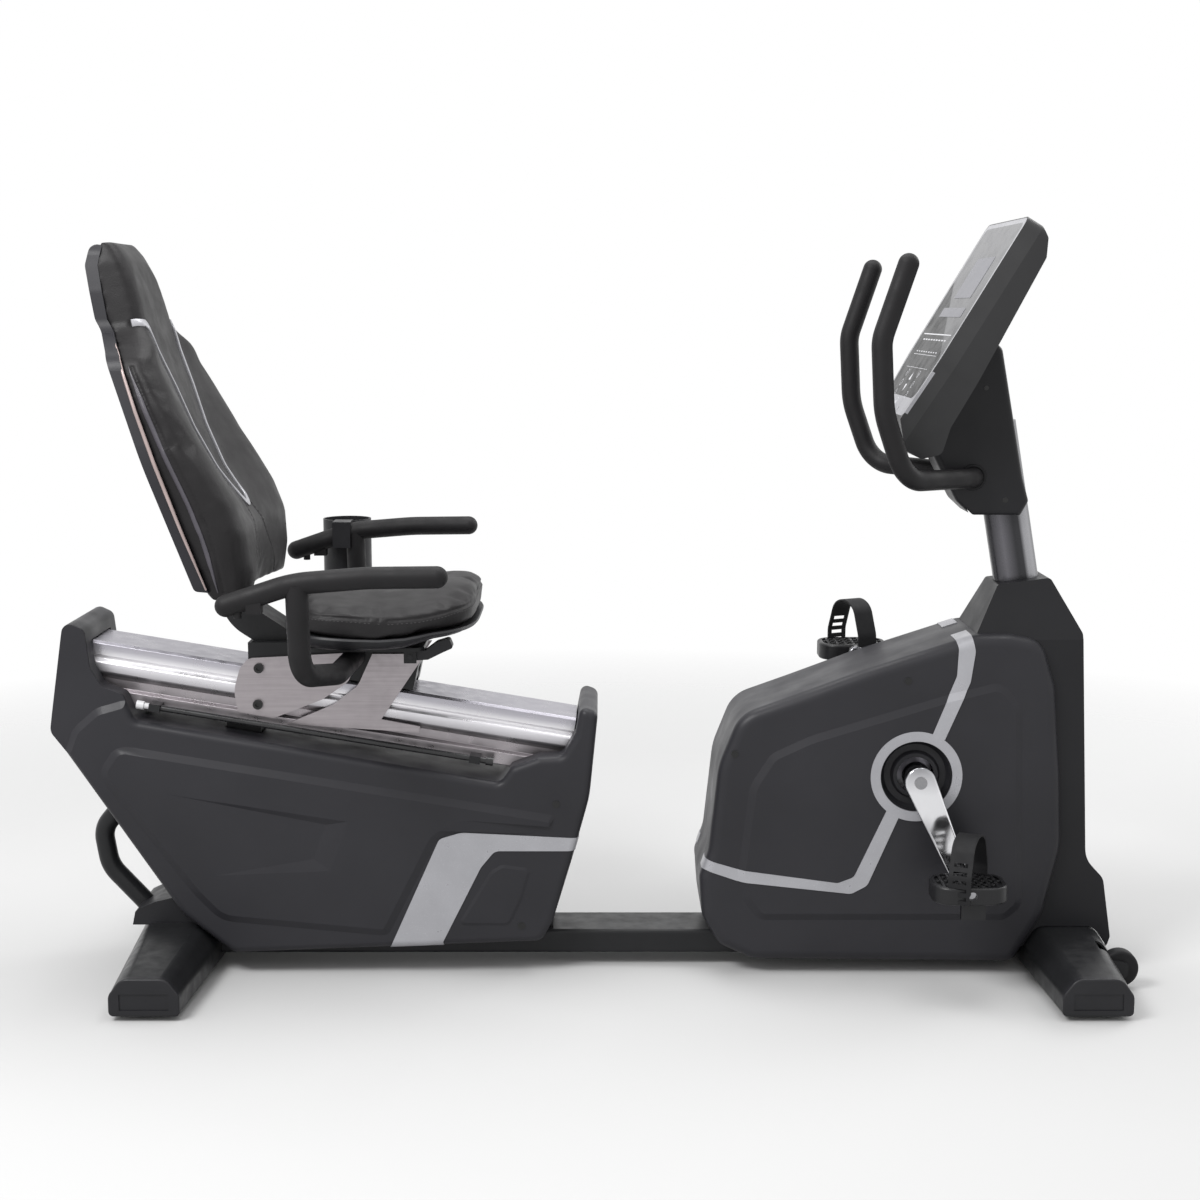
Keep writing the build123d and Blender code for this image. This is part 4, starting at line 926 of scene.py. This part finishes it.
def back_block(rows=96, columns=60):
    """The backrest pad before it is filled: a front sheet and a flat rear, closed all round."""
    vertices, faces = [], []
    width = columns + 1
    for row in range(rows + 1):
        z = BACK_BOTTOM + (BACK_TOP - BACK_BOTTOM) * row / rows
        half = curve_at(BACK_WIDTH, z) - PAD_INSET
        rear = curve_at(BACK_REAR, z) - PAD_SINK
        across = [half * math.sin(math.pi * (column / columns - 0.5)) for column in range(width)]
        vertices += [(back_front(y, z) - PAD_SKIN, y, z) for y in across]
        vertices += [(rear, y * PAD_REAR_SHARE, z) for y in across]
    line = 2 * width
    for row in range(rows):
        base, above = row * line, (row + 1) * line
        for column in range(columns):
            faces.append((base + column, base + column + 1, above + column + 1, above + column))
            b, a = base + width + column, above + width + column
            faces.append((b, a, a + 1, b + 1))
        for column in (0, columns):
            low, high = base + column, above + column
            faces.append((low, high, high + width, low + width))
    for base in (0, rows * line):
        for column in range(base, base + columns):
            faces.append((column, column + 1, column + width + 1, column + width))
    return vertices, faces


def laid(form, points, step=0.004):
    """A path of (y, z) points laid on the padded front, with its normals."""
    path, outs = [], []
    for spot in dense([Vector((0, y, z)) for y, z in points], step):
        hit, normal, _, _ = form.ray_cast(Vector((-0.2, spot.y, spot.z)), Vector((-1, 0, 0)))
        if hit:
            path.append(hit)
            outs.append(normal)
    return path, outs


def make_silver_line(pad, form):
    """The V's silver line: down one side, round the tip and up the other."""
    edge = []
    for z in np.linspace(1.052, V_TIP_Z, 30):
        edge.append((v_half_width(float(z)) + 0.004, float(z)))
    tip = []
    for angle in np.linspace(0, math.pi, 9)[1:-1]:
        tip.append((V_TIP_HALF * math.cos(angle), V_TIP_Z - 0.012 * math.sin(angle)))
    half = V_TAB + edge
    outline = half + tip + [(-y, z) for y, z in half[::-1]]
    path, outs = laid(form, outline, 0.003)
    last = len(outs) - 1
    evened = []
    for index in range(len(outs)):
        around = [outs[min(max(index + shift, 0), last)] for shift in range(-3, 4)]
        evened.append(sum(around, Vector()).normalized())
    groove(pad, path, *V_GROOVE)
    widths = []
    for point in path:
        at_tab = min(1.0, max(0.0, (point.z - 1.045) / 0.015))
        at_foot = min(1.0, max(0.0, (0.80 - point.z) / 0.03))
        widths.append(LINE_WIDTH + LINE_TAB * at_tab + LINE_FOOT * at_foot)
    line = strip(
        "backrest_silver_line",
        path,
        evened,
        widths,
        LINE_HEIGHT,
        "silver",
        "carriage",
        0.004,
    )
    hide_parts("backrest_trim")


def make_back_seams(pad, form, hand, side):
    """One side's seams: from the V's tip to the bottom, and up the side with a piping behind it,
    coloured lighter than the pad as a painted highlight along the ridge.
    """
    low_seam, low_out = laid(form, [(side * 0.016, 0.774), (side * 0.05, 0.71), (side * 0.1, 0.645)])
    groove(pad, low_seam, *LOW_GROOVE)
    beside = Vector((0, side * 0.0055, 0))
    threads = [point + out * 0.0003 + beside for point, out in zip(low_seam, low_out)]
    stitches(f"backrest_stitching_{hand}", threads, low_out, "carriage")
    seam, ridge, ridge_out = [], [], []
    for z in np.linspace(*SIDE_SEAM_Z, 90):
        z = float(z)
        rear = curve_at(BACK_REAR, z)
        front = back_front(side * curve_at(BACK_WIDTH, z), z)
        for share, points, outs in ((SEAM_PLACE, seam, []), (PIPING_PLACE, ridge, ridge_out)):
            start = Vector((rear + (front - rear) * share, side * BESIDE, z))
            hit, normal, _, _ = form.ray_cast(start, Vector((0, -side, 0)))
            if hit:
                points.append(hit)
                outs.append(normal)
    groove(pad, seam, *SIDE_GROOVE)
    widths = []
    for index in range(len(ridge)):
        from_end = min(index, len(ridge) - 1 - index)
        widths.append(PIPING_WIDTH * min(1.0, 0.15 + 6 * from_end / len(ridge)))
    name = f"backrest_piping_{hand}"
    # the piping takes the lighter vinyl, a painted highlight on the raised strip
    strip(name, ridge, ridge_out, widths, PIPING_HEIGHT, "ridge", "carriage")


def make_back_highlight_bead(hand, side):
    """A thin bead where the shell's rim meets the pad, coloured pale pinkish as a painted highlight
    along the shell's edge.
    """
    bead, radii = [], []
    for share in np.linspace(0, 1, 80):
        z = HIGHLIGHT_BEAD_Z[0] + (HIGHLIGHT_BEAD_Z[1] - HIGHLIGHT_BEAD_Z[0]) * float(share)
        half = curve_at(BACK_WIDTH, z)
        bead.append(Vector((curve_at(BACK_REAR, z) - 0.001, side * (half - 0.003), z)))
        radii.append(HIGHLIGHT_BEAD_RADIUS * math.sin(math.pi * max(0.04, share)) ** 0.4 + 0.0004)
    tube(f"backrest_highlight_bead_{hand}", bead, radii, "bead", "carriage")


def make_backrest():
    """The padded backrest with its silver V, seams, pipings and beads; the beads are coloured as
    painted highlights.
    """
    vertices, faces = back_block()
    pad = piece("backrest_pad", vertices, faces, "vinyl", "carriage")
    plump(pad)
    form = surface(pad)
    make_silver_line(pad, form)
    for hand, side in SIDES:
        make_back_seams(pad, form, hand, side)
    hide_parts("backrest_cushion")
    for hand, side in SIDES:
        make_back_highlight_bead(hand, side)


make_seat_pad()
make_seat_pan()
make_backrest()


# ------------------------------------------------------------------ console face
FACE_UP = Vector((math.sin(CONSOLE_LEAN), 0, math.cos(CONSOLE_LEAN)))
FACE_OUT = Vector((-math.cos(CONSOLE_LEAN), 0, math.sin(CONSOLE_LEAN)))
FACE_RIGHT = Vector((0, -1, 0))
GLASS_FORM = surface(NODES["console_panel"])
# boxes on the face as (left, low, right, high), from the middle of the console's foot
DISPLAY = (-0.052, 0.218, 0.088, 0.292)
READOUT = (-0.085, 0.183, 0.105, 0.200)
RULES = [
    (-0.125, 0.1495, 0.125, 0.1515),
    (-0.105, 0.112, 0.105, 0.1128),
    (-0.1, 0.088, 0.1, 0.0886),
]
KEY_COLUMN = 0.055
KEY_ROW = 0.078
KEY_STEP = 0.019


def on_face(across, up, lift):
    """A point on the console's glass: across towards the rider's right, up along the face."""
    flat = CONSOLE_FOOT + FACE_RIGHT * across + FACE_UP * up
    hit, _, _, _ = GLASS_FORM.ray_cast(flat + FACE_OUT * 0.05, -FACE_OUT)
    return (hit or flat) + FACE_OUT * lift


def printed(name, shapes, material, lift=0.0003):
    """Flat shapes on the console's face, each one a list of (across, up) corners."""
    vertices, faces = [], []
    for shape in shapes:
        first = len(vertices)
        size = len(shape)
        for level in (lift, -0.0004):
            vertices += [on_face(a, u, level) for a, u in shape]
        faces.append(tuple(range(first, first + size)))
        faces.append(tuple(range(first + 2 * size - 1, first + size - 1, -1)))
        for turn in range(size):
            beside = (turn + 1) % size
            faces.append((first + turn, first + beside, first + size + beside, first + size + turn))
    return piece(name, vertices, faces, material, "frame", 30)


def bar(left, low, right, high):
    """A box's four corners."""
    return [(left, low), (right, low), (right, high), (left, high)]


def rounded_bar(left, low, right, high, radius):
    """A box's outline with rounded corners."""
    corners = [
        (right - radius, low + radius, -90),
        (right - radius, high - radius, 0),
        (left + radius, high - radius, 90),
        (left + radius, low + radius, 180),
    ]
    out = []
    for x, y, start in corners:
        for step in range(5):
            angle = math.radians(start + 22.5 * step)
            out.append((x + radius * math.cos(angle), y + radius * math.sin(angle)))
    return out


def ring_shapes(x, y, radius, width, count=20):
    """A thin ring as short four-sided shapes."""
    out = []
    for step in range(count):
        a, b = 2 * math.pi * step / count, 2 * math.pi * (step + 1) / count
        ends = ((radius, a), (radius + width, a), (radius + width, b), (radius, b))
        out.append([(x + r * math.cos(t), y + r * math.sin(t)) for r, t in ends])
    return out


def make_console_face():
    """The display, the line of readouts, and plain marks in place of the print."""
    printed("console_display", [rounded_bar(*DISPLAY, 0.004)], "window", 0.0005)
    printed("console_readout", [rounded_bar(*READOUT, 0.003)], "window", 0.0005)
    marks = [bar(*rule) for rule in RULES]
    for step in range(9):
        marks.append(bar(-0.1 + 0.024 * step, 0.139, -0.086 + 0.024 * step, 0.1415))
        marks.append(bar(-0.095 + 0.0225 * step, 0.117, -0.085 + 0.0225 * step, 0.119))
    for side in (-1, 1):
        column = side * KEY_COLUMN
        for row in range(3):
            marks += ring_shapes(column, KEY_ROW - KEY_STEP * row, 0.0055, 0.0008)
        marks.append(bar(column - 0.003, KEY_ROW - 0.0005, column + 0.003, KEY_ROW + 0.0005))
    up_arrow = [(-0.008, 0.066), (0.008, 0.066), (0.0, 0.08)]
    down_arrow = [(0.008, 0.058), (-0.008, 0.058), (0.0, 0.044)]
    marks += [up_arrow, down_arrow]
    marks += ring_shapes(0.0, 0.024, 0.0085, 0.0011)
    marks.append(bar(-0.0035, 0.0205, 0.0035, 0.0275))
    printed("console_marks", marks, "print")


make_console_face()


# ------------------------------------------------------------------ neck details
# each pair of screws: name, x, z and radius
NECK_SCREWS = [("high", 0.628, 0.958, 0.004), ("low", 0.664, 0.778, 0.0045)]
# the covers' sides lie beyond this
NECK_SIDE = 0.04
GROMMET_OUT = 0.0455
GROMMET_GROWTH = 0.0024
GROMMET_RADIUS = 0.0033


def rounded_plug(name, centre, radius, out, depth=0.002, stand=0.0005):
    """A screw's round head, standing a little proud of a surface."""
    out = out.normalized()
    side = out.orthogonal().normalized()
    up = out.cross(side)
    rings = []
    for size, lift in ((1.0, -depth), (1.0, stand * 0.4), (0.86, stand), (0.3, stand * 0.6)):
        ring = []
        for turn in range(24):
            angle = 2 * math.pi * turn / 24
            spoke = side * math.cos(angle) + up * math.sin(angle)
            ring.append(centre + spoke * radius * size + out * lift)
        rings.append(ring)
    ringed(name, rings, "screw", "frame", 40)


def cast_on(node_name, x, z, side):
    """Where a node's right (-1) or left (1) face lies at x and z, with its normal."""
    form = surface(NODES[node_name])
    hit, normal, _, _ = form.ray_cast(Vector((x, side * BESIDE, z)), Vector((0, -side, 0)))
    return hit, normal


def make_neck_details():
    """The covers' screws, and a rubber ring where the handlebar enters each side."""
    for hand, side in SIDES:
        for name, x, z, radius in NECK_SCREWS:
            for node_name in ("neck_cover_front", "neck_cover_rear"):
                hit, normal = cast_on(node_name, x, z, side)
                if hit and abs(hit.y) > NECK_SIDE:
                    rounded_plug(f"neck_screw_{name}_{hand}", hit, radius, normal)
                    break
        circle = []
        for turn in range(40):
            angle = 2 * math.pi * turn / 40
            spoke = Vector((math.cos(angle), 0, math.sin(angle)))
            centre = HANDLEBAR_CROSS + Vector((0, side * GROMMET_OUT, 0))
            circle.append(centre + spoke * (HANDLEBAR_RADIUS + GROMMET_GROWTH))
        radii = [GROMMET_RADIUS] * len(circle)
        tube(f"handlebar_grommet_{hand}", circle, radii, "rubber", "frame", closed=True)


make_neck_details()


# ------------------------------------------------------------------ pedal treads
TREAD_ROW = 0.0118
TREAD_COLUMN = 0.0105
TREAD_REACH_X = 0.05
TREAD_REACH_Y = 0.036
TREAD_SINK = 0.003
# a stud's rings, as (radius, height)
STUD_RINGS = ((0.0036, -0.002), (0.0034, 0.0026), (0.0022, 0.0036))
STUD_SIDES = 8


def make_treads():
    """Rubber studs over each pedal's top."""
    for hand in ("right", "left"):
        low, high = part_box(f"pedal_{hand}")
        centre = (Vector(low) + Vector(high)) / 2
        top = high[2] - TREAD_SINK
        vertices, faces = [], []
        for row in range(-4, 5):
            for column in range(-3, 4):
                x = centre.x + row * TREAD_ROW + (TREAD_ROW / 2 if column % 2 else 0)
                y = centre.y + column * TREAD_COLUMN
                off_x, off_y = (x - centre.x) / TREAD_REACH_X, (y - centre.y) / TREAD_REACH_Y
                if off_x**2 + off_y**2 > 1:
                    continue
                first = len(vertices)
                for size, lift in STUD_RINGS:
                    for turn in range(STUD_SIDES):
                        angle = 2 * math.pi * turn / STUD_SIDES
                        spot = (x + size * math.cos(angle), y + size * math.sin(angle), top + lift)
                        vertices.append(spot)
                faces += ring_faces(first, STUD_SIDES, len(STUD_RINGS))
                faces.append(tuple(range(len(vertices) - STUD_SIDES, len(vertices))))
        piece(f"pedal_tread_{hand}", vertices, faces, "rubber", f"pedal_{hand}", 40)


make_treads()


# ------------------------------------------------------------------ floor, light and camera
FLOOR_REACH = 9.0
FLOOR_SHADE = 0.48
# the floor fades into the background between these distances from the middle
FADE_FROM, FADE_TO = 1.5, 3.0
# each light: name, place, aim, size and power
LIGHTS = [
    ("key", (-1.8, -1.9, 3.0), (0, 0, 0.5), (1.6, 1.0), 105),
    ("top", (0.2, 0.4, 3.4), (0, 0, 0.4), (3.0, 1.2), 60),
    ("rim", (2.6, 1.6, 2.2), (0.3, 0, 0.7), (1.2, 1.8), 30),
]
CAMERA_PLACE = (0.011, -3.15, 1.081)
CAMERA_PITCH = math.radians(8.53)
CAMERA_LENS = 58.0
CAMERA_SENSOR = 36.0


def floor_material():
    """A matt pale floor that fades out with distance."""
    material = bpy.data.materials.new("floor")
    material.use_nodes = True
    tree = material.node_tree
    shader = tree.nodes["Principled BSDF"]
    shader.inputs["Base Color"].default_value = (FLOOR_SHADE, FLOOR_SHADE, FLOOR_SHADE, 1)
    shader.inputs["Roughness"].default_value = 0.9
    shader.inputs["Specular IOR Level"].default_value = 0.1
    coords = tree.nodes.new("ShaderNodeTexCoord")
    length = add(tree, "ShaderNodeVectorMath", i0=coords.outputs["Object"])
    length.operation = "LENGTH"
    fade = spread(tree, length.outputs["Value"], 1.0, 0.0, FADE_FROM, FADE_TO)
    tree.links.new(fade, shader.inputs["Alpha"])
    return material


def make_floor(rings=12, turns=64):
    """A round floor at z = 0."""
    mesh = bpy.data.meshes.new("floor")
    vertices = [(0, 0, 0)]
    for ring in range(1, rings + 1):
        for turn in range(turns):
            angle = 2 * math.pi * turn / turns
            radius = FLOOR_REACH * (ring / rings) ** 1.5
            vertices.append((radius * math.cos(angle), radius * math.sin(angle), 0))
    faces = [(0, 1 + turn, 1 + (turn + 1) % turns) for turn in range(turns)]
    for ring in range(rings - 1):
        for turn in range(turns):
            a, b = 1 + ring * turns, 1 + (ring + 1) * turns
            beside = (turn + 1) % turns
            faces.append((a + turn, b + turn, b + beside, a + beside))
    mesh.from_pydata(vertices, [], faces)
    floor = bpy.data.objects.new("floor", mesh)
    scene.collection.objects.link(floor)
    mesh.materials.append(floor_material())


def area_light(name, location, aim, size, power):
    """A rectangular soft light aimed at a point."""
    data = bpy.data.lights.new(name, "AREA")
    data.shape = "RECTANGLE"
    data.size, data.size_y = size
    data.energy = power
    lamp = bpy.data.objects.new(name, data)
    lamp.location = location
    towards = Vector(aim) - Vector(location)
    lamp.rotation_euler = towards.to_track_quat("-Z", "Y").to_euler()
    scene.collection.objects.link(lamp)


def make_studio():
    """A white surround, three soft lights and the camera."""
    world = bpy.data.worlds.new("studio")
    scene.world = world
    world.use_nodes = True
    background = world.node_tree.nodes["Background"]
    background.inputs["Color"].default_value = (1, 1, 1, 1)
    background.inputs["Strength"].default_value = 1.0
    for light in LIGHTS:
        area_light(*light)
    scene.view_settings.view_transform = "Standard"
    data = bpy.data.cameras.new("camera")
    data.sensor_width = CAMERA_SENSOR
    data.lens = CAMERA_LENS
    camera = bpy.data.objects.new("camera", data)
    camera.location = CAMERA_PLACE
    camera.rotation_euler = (math.pi / 2 - CAMERA_PITCH, 0, 0)
    scene.collection.objects.link(camera)
    bpy.context.scene.camera = camera


make_floor()
make_studio()
